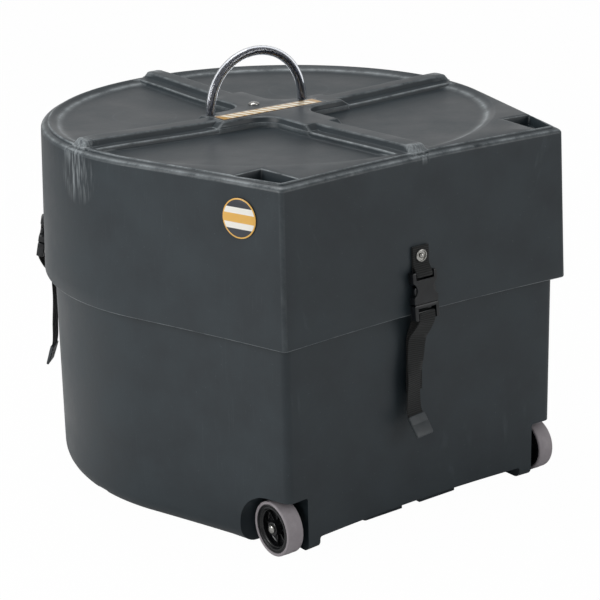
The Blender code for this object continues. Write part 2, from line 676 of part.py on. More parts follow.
def build_base(finish, frame):
    rings = rounded_bottom(FOOT_HEIGHT, -BASE_INSET, 0.0)
    rings.append(ring_at(SKIRT_BOTTOM, -BASE_INSET))
    rings.append(ring_at(BASE_TOP, -BASE_TOP_INSET))
    base = add_object("base_shell", loft(rings), finish, frame)

    reach = SHELL_RADIUS + CUT_MARGIN
    face_reach = FACE_DISTANCE + CUT_MARGIN
    groove = prism(cross_outline(GROOVE_HALF, reach, face_reach, reach), -CUT_MARGIN, FOOT_HEIGHT + GROOVE_DEPTH)
    combine(base, add_object("front_cut", front_cut(0.0, -CUT_MARGIN), parent=frame))
    combine(base, add_object("stacking_groove", groove, parent=frame))
    combine(base, add_object("wheel_wells", merge(well_solid(0.0, -1), well_solid(0.0, 1)), parent=frame))

    inner = rounded_bottom(FOOT_HEIGHT + WALL, -BASE_INSET - WALL, WALL)
    inner.append(ring_at(SKIRT_BOTTOM, -BASE_INSET - WALL))
    inner.append(ring_at(BASE_TOP, -BASE_TOP_INSET - WALL))
    inner.append(ring_at(BASE_TOP + CUT_MARGIN, -BASE_TOP_INSET - WALL))
    cavity = add_object("base_cavity", loft(inner), parent=frame)
    groove_walls = prism(cross_outline(GROOVE_HALF + WALL, reach, face_reach, reach), -2 * CUT_MARGIN,
                         FOOT_HEIGHT + GROOVE_DEPTH + WALL)
    combine(cavity, add_object("front_cut_walls", front_cut(WALL, -CUT_MARGIN), parent=frame))
    combine(cavity, add_object("groove_walls", groove_walls, parent=frame))
    combine(cavity, add_object("well_walls", merge(well_solid(WALL, -1), well_solid(WALL, 1)), parent=frame))
    combine(base, cavity)

    holes = []
    for _, angle, along, _, _ in STRAPS:
        holes.append(moved(rivet_hole(BASE_RIVET_Z, -BASE_INSET, 0.0), strap_matrix(angle, along)))
    axle_hole = AXLE_RADIUS + AXLE_CLEARANCE
    for side in (-1, 1):
        hole = rod(axle_hole, WELL_SIDE_X - WALL - CUT_MARGIN, WELL_SIDE_X + CUT_MARGIN, 14)
        holes.append(moved(hole, axle_matrix(side)))
    combine(base, add_object("base_holes", merge(*holes), parent=frame))
    return base


def axle_matrix(side):
    """From a frame whose Z runs outwards along an axle to the shells' frame."""
    return Matrix.Translation((0, WHEEL_Y, WHEEL_RADIUS)) @ Matrix.Rotation(side * math.pi / 2, 4, 'Y')


def build_wheel(side_name, side, finishes, frame):
    """Tyre and hub turn on the axle; bolt, spacer and nut stay on the base."""
    hub_name = side_name + "_wheel_"
    axle = make_empty(hub_name + "axle", frame, (0, WHEEL_Y, WHEEL_RADIUS))
    turn = (0, side * math.pi / 2, 0)
    outer = WHEEL_OUTER_X
    inner = WHEEL_OUTER_X - WHEEL_WIDTH
    tread = WHEEL_RADIUS
    seat = WHEEL_RADIUS - TYRE_THICKNESS
    tyre = lathe([(seat, inner + HUB_INSET), (tread - TYRE_EDGE, inner), (tread, inner + TYRE_EDGE),
                  (tread, outer - TYRE_EDGE), (tread - TYRE_EDGE, outer), (seat, outer - HUB_INSET)], WHEEL_STEPS)
    add_object(hub_name + "tyre", tyre, finishes["tyre_rubber"], axle, rotation=turn)

    rim = seat - RUNNING_GAP
    face = outer - HUB_INSET
    back = inner + HUB_INSET
    ring = rim - HUB_RING_WIDTH
    floor = face - HUB_DISH_DEPTH
    hub = lathe([(rim, back), (rim, face), (ring, face), (ring - HUB_STEP_WIDTH, face - HUB_STEP_DEPTH),
                 (HUB_DISH_RADIUS, floor), (BOSS_RADIUS + BOSS_DRAFT, floor), (BOSS_RADIUS, face - BOSS_DROP),
                 (HUB_BORE, face - BOSS_DROP), (HUB_BORE, back), (BOSS_RADIUS, back),
                 (BOSS_RADIUS + BOSS_DRAFT, back + HUB_BACK_DEPTH), (HUB_DISH_RADIUS, back + HUB_BACK_DEPTH),
                 (rim - HUB_BACK_RIM, back)], HUB_STEPS)
    add_object(hub_name + "hub", hub, finishes["hub_plastic"], axle, rotation=turn)

    seat_x = face - BOSS_DROP + RUNNING_GAP
    end = WELL_SIDE_X - WALL - NUT_HEIGHT - 2 * RUNNING_GAP - AXLE_END
    bolt = lathe([(0, seat_x + AXLE_HEAD_HEIGHT), (AXLE_HEAD_RADIUS * 0.55, seat_x + AXLE_HEAD_HEIGHT * 0.88),
                  (AXLE_HEAD_RADIUS * 0.9, seat_x + AXLE_HEAD_HEIGHT * 0.45), (AXLE_HEAD_RADIUS, seat_x),
                  (AXLE_RADIUS, seat_x), (AXLE_RADIUS, end), (0, end)], 16)
    add_object(hub_name + "bolt", bolt, finishes["steel"], axle, rotation=turn)

    bore = AXLE_RADIUS + RUNNING_GAP
    low = WELL_SIDE_X + RUNNING_GAP
    high = back - RUNNING_GAP
    spacer = lathe([(bore, low), (SPACER_RADIUS, low), (SPACER_RADIUS, high), (bore, high)], 16)
    add_object(hub_name + "spacer", spacer, finishes["steel"], axle, rotation=turn)
    top = WELL_SIDE_X - WALL - RUNNING_GAP
    nut = nut_ring(NUT_RADIUS, bore, top - NUT_HEIGHT, top)
    add_object(hub_name + "nut", nut, finishes["steel"], axle, rotation=turn)


def handle_path(low):
    """Up one leg, over half an ellipse and down the other, in the plane of X and Z."""
    points = [Vector((HANDLE_HALF_SPAN, 0, low))]
    for k in range(HANDLE_STATIONS + 1):
        angle = math.pi * k / HANDLE_STATIONS
        points.append(Vector((HANDLE_HALF_SPAN * math.cos(angle), 0, BLOCK_TOP + HANDLE_RISE * math.sin(angle))))
    points.append(Vector((-HANDLE_HALF_SPAN, 0, low)))
    return points


def rings_along(path, radius, sides):
    rings = []
    for k, point in enumerate(path):
        if k in (0, 1, len(path) - 2, len(path) - 1):
            tangent = Vector((0, 0, 1 if k < 2 else -1))
        else:
            tangent = (path[k + 1] - path[k - 1]).normalized()
        normal = Vector((0, 1, 0)).cross(tangent)
        turns = [2 * math.pi * i / sides for i in range(sides)]
        rings.append([point + radius * (math.cos(a) * normal + math.sin(a) * Vector((0, 1, 0))) for a in turns])
    return rings


def tube(path, outer, inner, sides):
    """A hollow tube along a path, open at both ends."""
    bm = bmesh.new()
    walls = []
    for radius in (outer, inner):
        walls.append([[bm.verts.new(p) for p in ring] for ring in rings_along(path, radius, sides)])
    for rows in walls:
        for low, high in zip(rows, rows[1:]):
            for i in range(sides):
                j = (i + 1) % sides
                bm.faces.new((low[i], low[j], high[j], high[i]))
    for end in (0, -1):
        for i in range(sides):
            j = (i + 1) % sides
            bm.faces.new((walls[0][end][i], walls[0][end][j], walls[1][end][j], walls[1][end][i]))
    return bm


def build_handle(finishes, frame):
    place = (HANDLE_X, HANDLE_Y, 0)
    seat = BLOCK_TOP - SLEEVE_SOCKET_DEPTH + RUNNING_GAP
    sleeve = tube(handle_path(seat), SLEEVE_RADIUS, ROPE_RADIUS + RUNNING_GAP, SLEEVE_SIDES)
    add_object("handle_sleeve", sleeve, finishes["sleeve_clear"], frame, place)
    stop_top = BLOCK_TOP - PANEL_SKIN - RUNNING_GAP
    rope_end = stop_top - STOP_HEIGHT - ROPE_TAIL
    add_object("handle_rope", loft(rings_along(handle_path(rope_end), ROPE_RADIUS, ROPE_SIDES)),
               finishes["rope"], frame, place)
    for name, side in (("handle_stop_left", -1), ("handle_stop_right", 1)):
        stop = lathe([(ROPE_RADIUS + RUNNING_GAP, stop_top - STOP_HEIGHT), (STOP_RADIUS, stop_top - STOP_HEIGHT),
                      (STOP_RADIUS, stop_top), (ROPE_RADIUS + RUNNING_GAP, stop_top)], SLEEVE_SIDES)
        add_object(name, stop, finishes["steel"], frame, (HANDLE_X + side * HANDLE_HALF_SPAN, HANDLE_Y, 0))


def build_lid_trim(finishes, frame):
    label = box(-LABEL_LENGTH / 2, LABEL_LENGTH / 2, -LABEL_WIDTH / 2, LABEL_WIDTH / 2,
                BLOCK_TOP - LABEL_THICKNESS, BLOCK_TOP)
    add_object("label_strip", label, finishes["label"], frame, (LABEL_X, LABEL_Y, 0))

    side_normal = Vector((-math.cos(SIDE_ANGLE), math.sin(SIDE_ANGLE), 0))
    along = Vector((-side_normal.y, side_normal.x, 0)) * -1
    corner = Vector((-FACE_HALF_WIDTH, -FACE_DISTANCE, 0))
    place = corner + along * BADGE_ALONG_WALL + side_normal * skirt_offset(BADGE_HEIGHT)
    turn = math.atan2(side_normal.y, side_normal.x)
    matrix = (Matrix.Translation((place.x, place.y, BADGE_HEIGHT)) @ Matrix.Rotation(turn, 4, 'Z')
              @ Matrix.Rotation(math.pi / 2 - SKIRT_DRAFT, 4, 'Y'))
    badge = moved(rod(BADGE_RADIUS, RUNNING_GAP, RUNNING_GAP + BADGE_THICKNESS, 32), matrix)
    add_object("size_badge", badge, finishes["label"], frame)

    seat = BLOCK_TOP + RUNNING_GAP
    tip = BLOCK_TOP - PANEL_SKIN - SCREW_NUT_HEIGHT - SCREW_END
    screw = lathe([(0, seat + SCREW_HEAD_HEIGHT), (SCREW_HEAD_RADIUS * 0.5, seat + SCREW_HEAD_HEIGHT * 0.9),
                   (SCREW_HEAD_RADIUS * 0.85, seat + SCREW_HEAD_HEIGHT * 0.5), (SCREW_HEAD_RADIUS, seat),
                   (SCREW_RADIUS, seat), (SCREW_RADIUS, tip), (0, tip)], 20)
    add_object("centre_screw", screw, finishes["steel"], frame, (SCREW_X, SCREW_Y, 0))
    top = BLOCK_TOP - PANEL_SKIN - 2 * RUNNING_GAP
    nut = nut_ring(SCREW_NUT_RADIUS, SCREW_RADIUS + RUNNING_GAP, top - SCREW_NUT_HEIGHT, top)
    add_object("centre_nut", nut, finishes["steel"], frame, (SCREW_X, SCREW_Y, 0))


def ribbon(path):
    """Webbing along (outwards, up) stations, each the middle of the band's thickness."""
    points = [Vector((0, y, z)) for y, z in path]
    half = WEB_WIDTH / 2
    rings = []
    for k, point in enumerate(points):
        before = points[max(k - 1, 0)]
        after = points[min(k + 1, len(points) - 1)]
        tangent = (after - before).normalized()
        normal = Vector((0, -tangent.z, tangent.y)) * (WEB_THICKNESS / 2)
        across = Vector((half, 0, 0))
        rings.append([point - across + normal, point + across + normal, point + across - normal,
                      point - across - normal])
    return loft(rings)


def wrap(y, z, radius, start, end):
    """Stations round a bar, by angle in degrees in the plane of Y and Z."""
    turns = [math.radians(start + (end - start) * k / WRAP_STEPS) for k in range(WRAP_STEPS + 1)]
    return [(y + radius * math.cos(a), z + radius * math.sin(a)) for a in turns]


def leaving_angle(y, z, radius, target, side):
    """The angle in degrees where a band round a bar leaves it, straight for the target."""
    run = Vector((target[0] - y, target[1] - z))
    return math.degrees(math.atan2(run.y, run.x) + side * math.acos(radius / run.length))


def crossbar(radius, half, y, z):
    """A round bar that runs along X."""
    return moved(rod(radius, -half, half, 10), Matrix.Translation((0, y, z)) @ Matrix.Rotation(math.pi / 2, 4, 'Y'))


def rivet_set(prefix, grip, wall, place, finishes, strap):
    """Rivet with a domed head in a cupped washer outside, clinched on a burr inside."""
    seat = grip + RUNNING_GAP
    dish = seat + CUP_HEIGHT * 0.45
    bore = RIVET_RADIUS + RUNNING_GAP
    cup = lathe([(bore, seat), (CUP_RADIUS, seat), (CUP_RADIUS, seat + CUP_HEIGHT * 0.4),
                 (CUP_RADIUS * 0.84, seat + CUP_HEIGHT), (CUP_RADIUS * 0.70, seat + CUP_HEIGHT),
                 (CUP_RADIUS * 0.62, dish), (bore, dish)], 14)
    add_object(prefix + "_washer", moved(cup, place), finishes["steel"], strap)
    under = dish + RUNNING_GAP
    inside = -wall - RUNNING_GAP
    burr = lathe([(bore, inside - BURR_THICKNESS), (BURR_RADIUS, inside - BURR_THICKNESS),
                  (BURR_RADIUS, inside), (bore, inside)], 12)
    add_object(prefix + "_burr", moved(burr, place), finishes["steel"], strap)
    clinch = inside - BURR_THICKNESS - RUNNING_GAP
    head = RIVET_HEAD_RADIUS
    dome = RIVET_HEAD_HEIGHT
    body = lathe([(0, under + dome), (head * 0.55, under + dome * 0.85), (head * 0.88, under + dome * 0.45),
                  (head, under), (RIVET_RADIUS, under), (RIVET_RADIUS, clinch), (CLINCH_RADIUS, clinch),
                  (CLINCH_RADIUS, clinch - CLINCH_HEIGHT), (0, clinch - CLINCH_HEIGHT)], 12)
    add_object(prefix + "_rivet", moved(body, place), finishes["steel"], strap)


def buckle_point(across, up):
    """A point of the leaning buckle, given outwards and up from its loop bar, in the strap's Y and Z."""
    return (LOOP_BAR_Y + across * math.cos(LEAN) - up * math.sin(LEAN),
            LOOP_BAR_Z + across * math.sin(LEAN) + up * math.cos(LEAN))


def leaning(bm):
    return moved(bm, Matrix.Translation((0, LOOP_BAR_Y, LOOP_BAR_Z)) @ Matrix.Rotation(LEAN, 4, 'X'))


def build_socket(prefix, finishes, strap):
    """Female half: a loop bar above, a flat mouth below, scalloped sides over the prongs."""
    half = BUCKLE_WIDTH / 2
    out = BUCKLE_HALF + CUT_MARGIN
    socket = add_object(prefix + "_buckle_socket",
                        leaning(box(-half, half, -BUCKLE_HALF, BUCKLE_HALF, PARTING, SOCKET_HIGH)),
                        finishes["buckle_plastic"], strap)
    bevel_edges(socket, BUCKLE_EDGE)
    slot = box(-SLOT_HALF, SLOT_HALF, -out, out, SOCKET_HIGH - SLOT_HEIGHT, SOCKET_HIGH + CUT_MARGIN)
    mouth = box(-half + SOCKET_SIDE, half - SOCKET_SIDE, -BUCKLE_HALF + SOCKET_WALL, BUCKLE_HALF - SOCKET_WALL,
                PARTING - CUT_MARGIN, PARTING + SOCKET_MOUTH_DEPTH)
    scallops = []
    for side in (-1, 1):
        centre = side * (half - SCALLOP_DEPTH + SCALLOP_RADIUS)
        scallops.append(moved(rod(SCALLOP_RADIUS, -out, out, 18),
                              Matrix.Translation((centre, 0, PARTING + SCALLOP_HEIGHT))
                              @ Matrix.Rotation(-math.pi / 2, 4, 'X')))
    combine(socket, add_object(prefix + "_slot", leaning(slot), parent=strap))
    combine(socket, add_object(prefix + "_mouth", leaning(mouth), parent=strap))
    combine(socket, add_object(prefix + "_scallops", leaning(merge(*scallops)), parent=strap))
    bar = crossbar(LOOP_BAR_RADIUS, SLOT_HALF + RUNNING_GAP * 5, 0.0, 0.0)
    combine(socket, add_object(prefix + "_loop_bar", leaning(bar), parent=strap), 'UNION')


def build_plug(prefix, finishes, strap):
    """Male half: prongs and guide above, a frame with the ladder bar and a keeper below."""
    top = PARTING - RUNNING_GAP
    half = BUCKLE_WIDTH / 2
    out = BUCKLE_HALF + CUT_MARGIN
    plug = add_object(prefix + "_buckle_plug", leaning(box(-half, half, -BUCKLE_HALF, BUCKLE_HALF, PLUG_LOW, top)),
                      finishes["buckle_plastic"], strap)
    bevel_edges(plug, BUCKLE_EDGE)
    ceiling = top - PLUG_HEAD
    window = box(-SLOT_HALF, SLOT_HALF, -out, out, PLUG_LOW + KEEPER_HEIGHT, ceiling)
    combine(plug, add_object(prefix + "_window", leaning(window), parent=strap))
    for place, y0, y1 in (("back", -out, -KEEPER_THICKNESS / 2), ("front", KEEPER_THICKNESS / 2, out)):
        passage = box(-SLOT_HALF, SLOT_HALF, y0, y1, PLUG_LOW - CUT_MARGIN, ceiling - RUNNING_GAP)
        combine(plug, add_object(prefix + "_passage_" + place, leaning(passage), parent=strap))
    bar = crossbar(LADDER_RADIUS, SLOT_HALF + RUNNING_GAP * 5, 0.0, LADDER_AT)
    combine(plug, add_object(prefix + "_ladder_bar", leaning(bar), parent=strap), 'UNION')
    reach = half - SOCKET_SIDE - PRONG_GAP
    far = BUCKLE_HALF - SOCKET_WALL - PRONG_GAP
    near = -far + PRONG_LENGTH * math.tan(LEAN)
    root = top - PLUG_HEAD / 2
    tips = merge(*[box(x0, x1, near, far, root, top + PRONG_LENGTH) for x0, x1 in
                   ((-reach, -reach + PRONG_WIDTH), (-GUIDE_HALF, GUIDE_HALF), (reach - PRONG_WIDTH, reach))])
    combine(plug, add_object(prefix + "_prongs", leaning(tips), parent=strap), 'UNION')


def build_lid_web(prefix, finishes, strap):
    """A doubled band: down from the rivet, round the socket's loop bar and up again."""
    radius = LOOP_BAR_RADIUS + RUNNING_GAP + WEB_THICKNESS / 2
    inner = RUNNING_GAP + WEB_THICKNESS / 2
    outer = inner + WEB_THICKNESS + RUNNING_GAP
    bend = LID_RIVET_Z - CUP_RADIUS - WEB_THICKNESS
    back = [(skirt_offset(z) + inner, z) for z in (LID_WEB_TOP, bend)]
    front = [(skirt_offset(z) + outer, z) for z in (bend, LID_WEB_TOP)]
    start = leaving_angle(LOOP_BAR_Y, LOOP_BAR_Z, radius, back[-1], 1)
    end = leaving_angle(LOOP_BAR_Y, LOOP_BAR_Z, radius, front[0], -1)
    path = back + wrap(LOOP_BAR_Y, LOOP_BAR_Z, radius, start, end + 360) + front
    web = add_object(prefix + "_lid_webbing", ribbon(path), finishes["webbing"], strap)
    hole = rivet_hole(LID_RIVET_Z, skirt_offset(LID_RIVET_Z), SKIRT_DRAFT)
    combine(web, add_object(prefix + "_lid_web_hole", hole, parent=strap))


def build_base_web(prefix, tail, lean, finishes, strap):
    """One band: up the base's wall, out past the skirt, over the ladder bar and down again as the tail."""
    radius = LADDER_RADIUS + RUNNING_GAP + WEB_THICKNESS / 2
    inner = -BASE_INSET + RUNNING_GAP + WEB_THICKNESS / 2
    bar = buckle_point(0.0, LADDER_AT)
    path = [(inner, BASE_WEB_BOTTOM), (inner, BASE_WEB_BEND)]
    start = leaving_angle(*bar, radius, path[-1], -1)
    path += wrap(*bar, radius, start, math.degrees(LEAN))
    path.append(buckle_point(KEEPER_THICKNESS / 2 + RUNNING_GAP + WEB_THICKNESS, PLUG_LOW - WEB_THICKNESS / 2))
    path += tail
    path.append(tail_point(tail, lean, TAIL_LAST_RUN))
    web = add_object(prefix + "_base_webbing", ribbon(path), finishes["webbing"], strap)
    hole = moved(rod(RIVET_RADIUS + RIVET_HOLE_CLEARANCE, -CUT_MARGIN, CUT_MARGIN, 12),
                 wall_axis(BASE_RIVET_Z, -BASE_INSET, 0.0))
    combine(web, add_object(prefix + "_base_web_hole", hole, parent=strap))


def tail_point(tail, lean, run):
    """A point on the straight end of a tail, which leans out, that far past its last bend."""
    y, z = tail[-1]
    return y + run * math.sin(math.radians(lean)), z - run * math.cos(math.radians(lean))


def build_tip(prefix, tail, lean, finishes, strap):
    """The strap's end piece, with a pocket that the tail runs into."""
    half = TIP_WIDTH / 2
    thick = TIP_THICKNESS / 2
    y, z = tail_point(tail, lean, TAIL_LAST_RUN - TIP_POCKET_DEPTH + TIP_SEAT_GAP)
    seat = Matrix.Translation((0, y, z)) @ Matrix.Rotation(math.radians(lean), 4, 'X')
    tip = add_object(prefix + "_strap_tip", moved(box(-half, half, -thick, thick, -TIP_LENGTH, 0.0), seat),
                     finishes["tip_plastic"], strap)
    bevel_edges(tip, BUCKLE_EDGE)
    side = WEB_WIDTH / 2 + RUNNING_GAP
    deep = WEB_THICKNESS / 2 + RUNNING_GAP
    pocket = moved(box(-side, side, -deep, deep, -TIP_POCKET_DEPTH, CUT_MARGIN), seat)
    combine(tip, add_object(prefix + "_tip_pocket", pocket, parent=strap))


def build_strap(name, angle, along, tail, lean, finishes, frame):
    matrix = strap_matrix(angle, along)
    strap = make_empty(name + "_strap", frame, matrix.to_translation(), matrix.to_euler().z)
    grip = 2 * (WEB_THICKNESS + RUNNING_GAP)
    rivet_set(name + "_lid", grip, WALL, wall_axis(LID_RIVET_Z, skirt_offset(LID_RIVET_Z), SKIRT_DRAFT), finishes, strap)
    rivet_set(name + "_base", WEB_THICKNESS + RUNNING_GAP, WALL, wall_axis(BASE_RIVET_Z, -BASE_INSET, 0.0),
              finishes, strap)
    build_lid_web(name, finishes, strap)
    build_socket(name, finishes, strap)
    build_plug(name, finishes, strap)
    build_base_web(name, tail, lean, finishes, strap)
    build_tip(name, tail, lean, finishes, strap)


def main():
    clear_scene()
    finishes = {name: make_finish(name) for name in FINISHES}
    frame = make_empty("case_frame", location=(0, CENTRE_SHIFT, 0))
    build_base(finishes["case_plastic"], frame)
    build_lid(finishes["case_plastic"], frame)
    build_lid_trim(finishes, frame)
    build_handle(finishes, frame)
    for side_name, side in (("left", -1), ("right", 1)):
        build_wheel(side_name, side, finishes, frame)
    for name, angle, along, tail, lean in STRAPS:
        build_strap(name, angle, along, tail, lean, finishes, frame)


main()
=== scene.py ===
"""Dressed bass drum case: moulded shells, buckled webbing straps, wheels and a tube handle.

Units are metres. Shapes are worked out about the shells' own axis and then moved to the CAD's frame.
"""
import logging
import math
from dataclasses import dataclass
from enum import Enum
from typing import Any, Callable, Optional, Sequence

import bmesh
import bpy
from mathutils import Matrix, Vector


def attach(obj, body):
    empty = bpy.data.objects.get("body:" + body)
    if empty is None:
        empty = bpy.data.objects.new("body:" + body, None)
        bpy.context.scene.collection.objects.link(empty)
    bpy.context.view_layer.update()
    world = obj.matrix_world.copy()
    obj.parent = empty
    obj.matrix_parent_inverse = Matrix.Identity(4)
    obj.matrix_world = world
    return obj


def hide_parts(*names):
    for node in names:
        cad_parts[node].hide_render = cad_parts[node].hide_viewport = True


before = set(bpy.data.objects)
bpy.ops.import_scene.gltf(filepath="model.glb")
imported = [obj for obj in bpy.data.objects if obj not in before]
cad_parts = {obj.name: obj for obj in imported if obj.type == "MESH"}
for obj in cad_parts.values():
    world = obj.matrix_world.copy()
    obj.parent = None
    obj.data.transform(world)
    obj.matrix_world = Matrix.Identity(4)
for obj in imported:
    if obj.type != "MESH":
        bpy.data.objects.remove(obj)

LOG = logging.getLogger("drum_case")
Point = tuple[float, float, float]
Ring = list[Point]
Rows = list[list[int]]
Outline = list[tuple[float, float]]
Band = tuple[bpy.types.Object, list[Vector], list[Vector]]

MIX_FACTOR, MIX_A, MIX_B, MIX_OUT = 0, 6, 7, 2
MERGE = 1e-5
GAP = 0.0003


class Side(Enum):
    """Which side of the case a paired piece is on."""

    LEFT = -1
    RIGHT = 1

    @property
    def word(self) -> str:
        """The side's name as the CAD nodes use it."""
        return self.name.lower()


class Body(Enum):
    """The moving bodies of the CAD frame."""

    BASE = "base"
    LID = "lid"
    LEFT_WHEEL = "left_wheel"
    RIGHT_WHEEL = "right_wheel"


# Modelling bench

def clear_selection() -> None:
    """Leave edit mode with nothing selected."""
    if bpy.context.object is not None and bpy.context.object.mode != "OBJECT":
        bpy.ops.object.mode_set(mode="OBJECT")
    bpy.ops.object.select_all(action="DESELECT")


def select_only(item: bpy.types.Object) -> None:
    """Select one object and make it active."""
    clear_selection()
    item.select_set(True)
    bpy.context.view_layer.objects.active = item


def grow(name: str, rings: Sequence[Ring], caps: bool = True,
         joined: bool = False) -> tuple[bpy.types.Object, Rows]:
    """Raise a form from one circle by extruding its edge ring after ring.

    Args:
        name: The piece's name.
        rings: Outlines with the same number of points, in order.
        caps: Whether both open ends get a face.
        joined: Whether the last ring is bridged back to the first.

    Returns:
        The object, and for each ring the numbers of its points in the mesh.
    """
    count = len(rings[0])
    clear_selection()
    bpy.ops.mesh.primitive_circle_add(vertices=count, radius=0.1)
    item = bpy.context.object
    item.name = name
    bpy.ops.object.mode_set(mode="EDIT")
    bpy.ops.mesh.select_mode(type="EDGE")
    bpy.ops.mesh.select_all(action="SELECT")
    form = bmesh.from_edit_mesh(item.data)
    for vert, point in zip(form.verts, rings[0]):
        vert.co = point
    rows = [list(range(count))]
    for ring in rings[1:]:
        bpy.ops.mesh.extrude_edges_move()
        form = bmesh.from_edit_mesh(item.data)
        form.verts.index_update()
        place = {index: k for k, index in enumerate(rows[-1])}
        row = [0] * count
        for vert in form.verts:
            if vert.select:
                for edge in vert.link_edges:
                    other = edge.other_vert(vert)
                    if not other.select and other.index in place:
                        k = place[other.index]
                        row[k] = vert.index
                        vert.co = ring[k]
        rows.append(row)
    if caps:
        bpy.ops.mesh.edge_face_add()
    if caps or joined:
        form = bmesh.from_edit_mesh(item.data)
        form.verts.index_update()
        first = set(rows[0])
        last = set(rows[-1])
        for edge in form.edges:
            ends = {edge.verts[0].index, edge.verts[1].index}
            edge.select = ends <= first or (joined and ends <= last)
        form.select_flush(True)
        if caps:
            bpy.ops.mesh.edge_face_add()
        else:
            bpy.ops.mesh.bridge_edge_loops()
    bpy.ops.mesh.select_all(action="SELECT")
    bpy.ops.mesh.normals_make_consistent(inside=False)
    bpy.ops.object.mode_set(mode="OBJECT")
    return item, rows


def turned(name: str, profile: Sequence[tuple[float, float]], steps: int) -> bpy.types.Object:
    """Spin a closed profile of (radius, height) points about Z.

    Args:
        name: The piece's name.
        profile: The closed outline of the half section.
        steps: How many steps the full turn takes.

    Returns:
        The closed solid.
    """
    clear_selection()
    bpy.ops.mesh.primitive_circle_add(vertices=len(profile), radius=0.1)
    item = bpy.context.object
    item.name = name
    bpy.ops.object.mode_set(mode="EDIT")
    bpy.ops.mesh.select_all(action="SELECT")
    form = bmesh.from_edit_mesh(item.data)
    for vert, (radius, height) in zip(form.verts, profile):
        vert.co = (radius, 0.0, height)
    bmesh.update_edit_mesh(item.data)
    bpy.ops.mesh.spin(steps=steps, angle=2 * math.pi, center=(0, 0, 0), axis=(0, 0, 1))
    bpy.ops.mesh.select_all(action="SELECT")
    bpy.ops.mesh.remove_doubles(threshold=MERGE / 10)
    bpy.ops.mesh.normals_make_consistent(inside=False)
    bpy.ops.object.mode_set(mode="OBJECT")
    return item


def block(name: str, low: Point, high: Point) -> bpy.types.Object:
    """A box between two corners, as a start for shaping or as a cutter."""
    clear_selection()
    bpy.ops.mesh.primitive_cube_add(size=1.0)
    item = bpy.context.object
    item.name = name
    item.scale = [b - a for a, b in zip(low, high)]
    item.location = [(a + b) / 2 for a, b in zip(low, high)]
    bpy.ops.object.transform_apply(location=True, rotation=True, scale=True)
    return item


def rod(name: str, radius: float, low: float, high: float, steps: int) -> bpy.types.Object:
    """A solid cylinder about Z between two heights."""
    return turned(name, [(0, low), (radius, low), (radius, high), (0, high)], steps)


def dome_profile(radius: float, seat: float, rise: float, lip: float = 0.0006, steps: int = 8) -> Outline:
    """Half section of a screw's or rivet's low dome, from its crown down to the lip over its seat."""
    turns = [math.pi / 2 * k / steps for k in range(steps, -1, -1)]
    return [(radius * math.cos(a), seat + lip + (rise - lip) * math.sin(a)) for a in turns]


def arc(x: float, y: float, radius: float, start: float, turn: float, steps: int) -> Outline:
    """Points round a centre, from a start angle and through a turn, both in radians."""
    angles = [start + turn * k / steps for k in range(steps + 1)]
    return [(x + radius * math.cos(a), y + radius * math.sin(a)) for a in angles]


def modify(item: bpy.types.Object, kind: str, **settings: Any) -> None:
    """Add a modifier with its settings and apply it at once."""
    change = item.modifiers.new(kind.lower(), kind)
    for key, value in settings.items():
        setattr(change, key, value)
    select_only(item)
    bpy.ops.object.modifier_apply(modifier=change.name)


def soften(item: bpy.types.Object, width: float, segments: int = 3, angle: float = 35.0) -> None:
    """Round every edge that is sharper than an angle in degrees."""
    modify(item, "BEVEL", width=width, segments=segments, limit_method="ANGLE",
           angle_limit=math.radians(angle))


def work(item: bpy.types.Object, tool: bpy.types.Object, operation: str = "DIFFERENCE") -> None:
    """Cut or join with another solid, which is used up."""
    modify(item, "BOOLEAN", object=tool, operation=operation, solver="EXACT")
    bpy.data.objects.remove(tool, do_unlink=True)


def gather(items: Sequence[bpy.types.Object], name: str) -> bpy.types.Object:
    """Join objects into the first one."""
    select_only(items[0])
    for item in items[1:]:
        item.select_set(True)
    bpy.ops.object.join()
    items[0].name = name
    return items[0]


def place(item: bpy.types.Object, matrix: Matrix) -> bpy.types.Object:
    """Move a piece and put the move into its mesh."""
    select_only(item)
    item.matrix_world = matrix
    bpy.ops.object.transform_apply(location=True, rotation=True, scale=True)
    return item


def copy_of(item: bpy.types.Object, name: str, matrix: Matrix) -> bpy.types.Object:
    """A copy with its own mesh, moved by a matrix."""
    select_only(item)
    bpy.ops.object.duplicate(linked=False)
    twin = bpy.context.object
    twin.name = name
    return place(twin, matrix)


def tidy_faces(item: bpy.types.Object) -> None:
    """Merge doubled points and turn all faces outwards."""
    select_only(item)
    bpy.ops.object.mode_set(mode="EDIT")
    bpy.ops.mesh.select_all(action="SELECT")
    bpy.ops.mesh.remove_doubles(threshold=MERGE)
    bpy.ops.mesh.normals_make_consistent(inside=False)
    bpy.ops.object.mode_set(mode="OBJECT")


def mark_wear(item: bpy.types.Object, low: float = 110.0, high: float = 520.0,
              extra: Optional[Callable[[Vector], float]] = None) -> None:
    """Write a point attribute, wear, from 0 on flats and hollows to 1 on tight outside edges.

    Args:
        item: The piece.
        low: Curvature in 1/m where wear begins.
        high: Curvature in 1/m where wear is full.
        extra: Further wear by place, where the piece is rubbed.
    """
    form = bmesh.new()
    form.from_mesh(item.data)
    values = []
    for vert in form.verts:
        curve = 0.0
        for edge in vert.link_edges:
            if len(edge.link_faces) == 2:
                width = sum(face.calc_area() for face in edge.link_faces) / 2 / max(edge.calc_length(), MERGE)
                curve = max(curve, edge.calc_face_angle_signed(0.0) / max(width, 0.0006))
        value = min(1.0, max(0.0, (curve - low) / (high - low)))
        values.append(max(value, extra(vert.co)) if extra else value)
    form.free()
    layer = item.data.attributes.new("wear", "FLOAT", "POINT")
    layer.data.foreach_set("value", values)


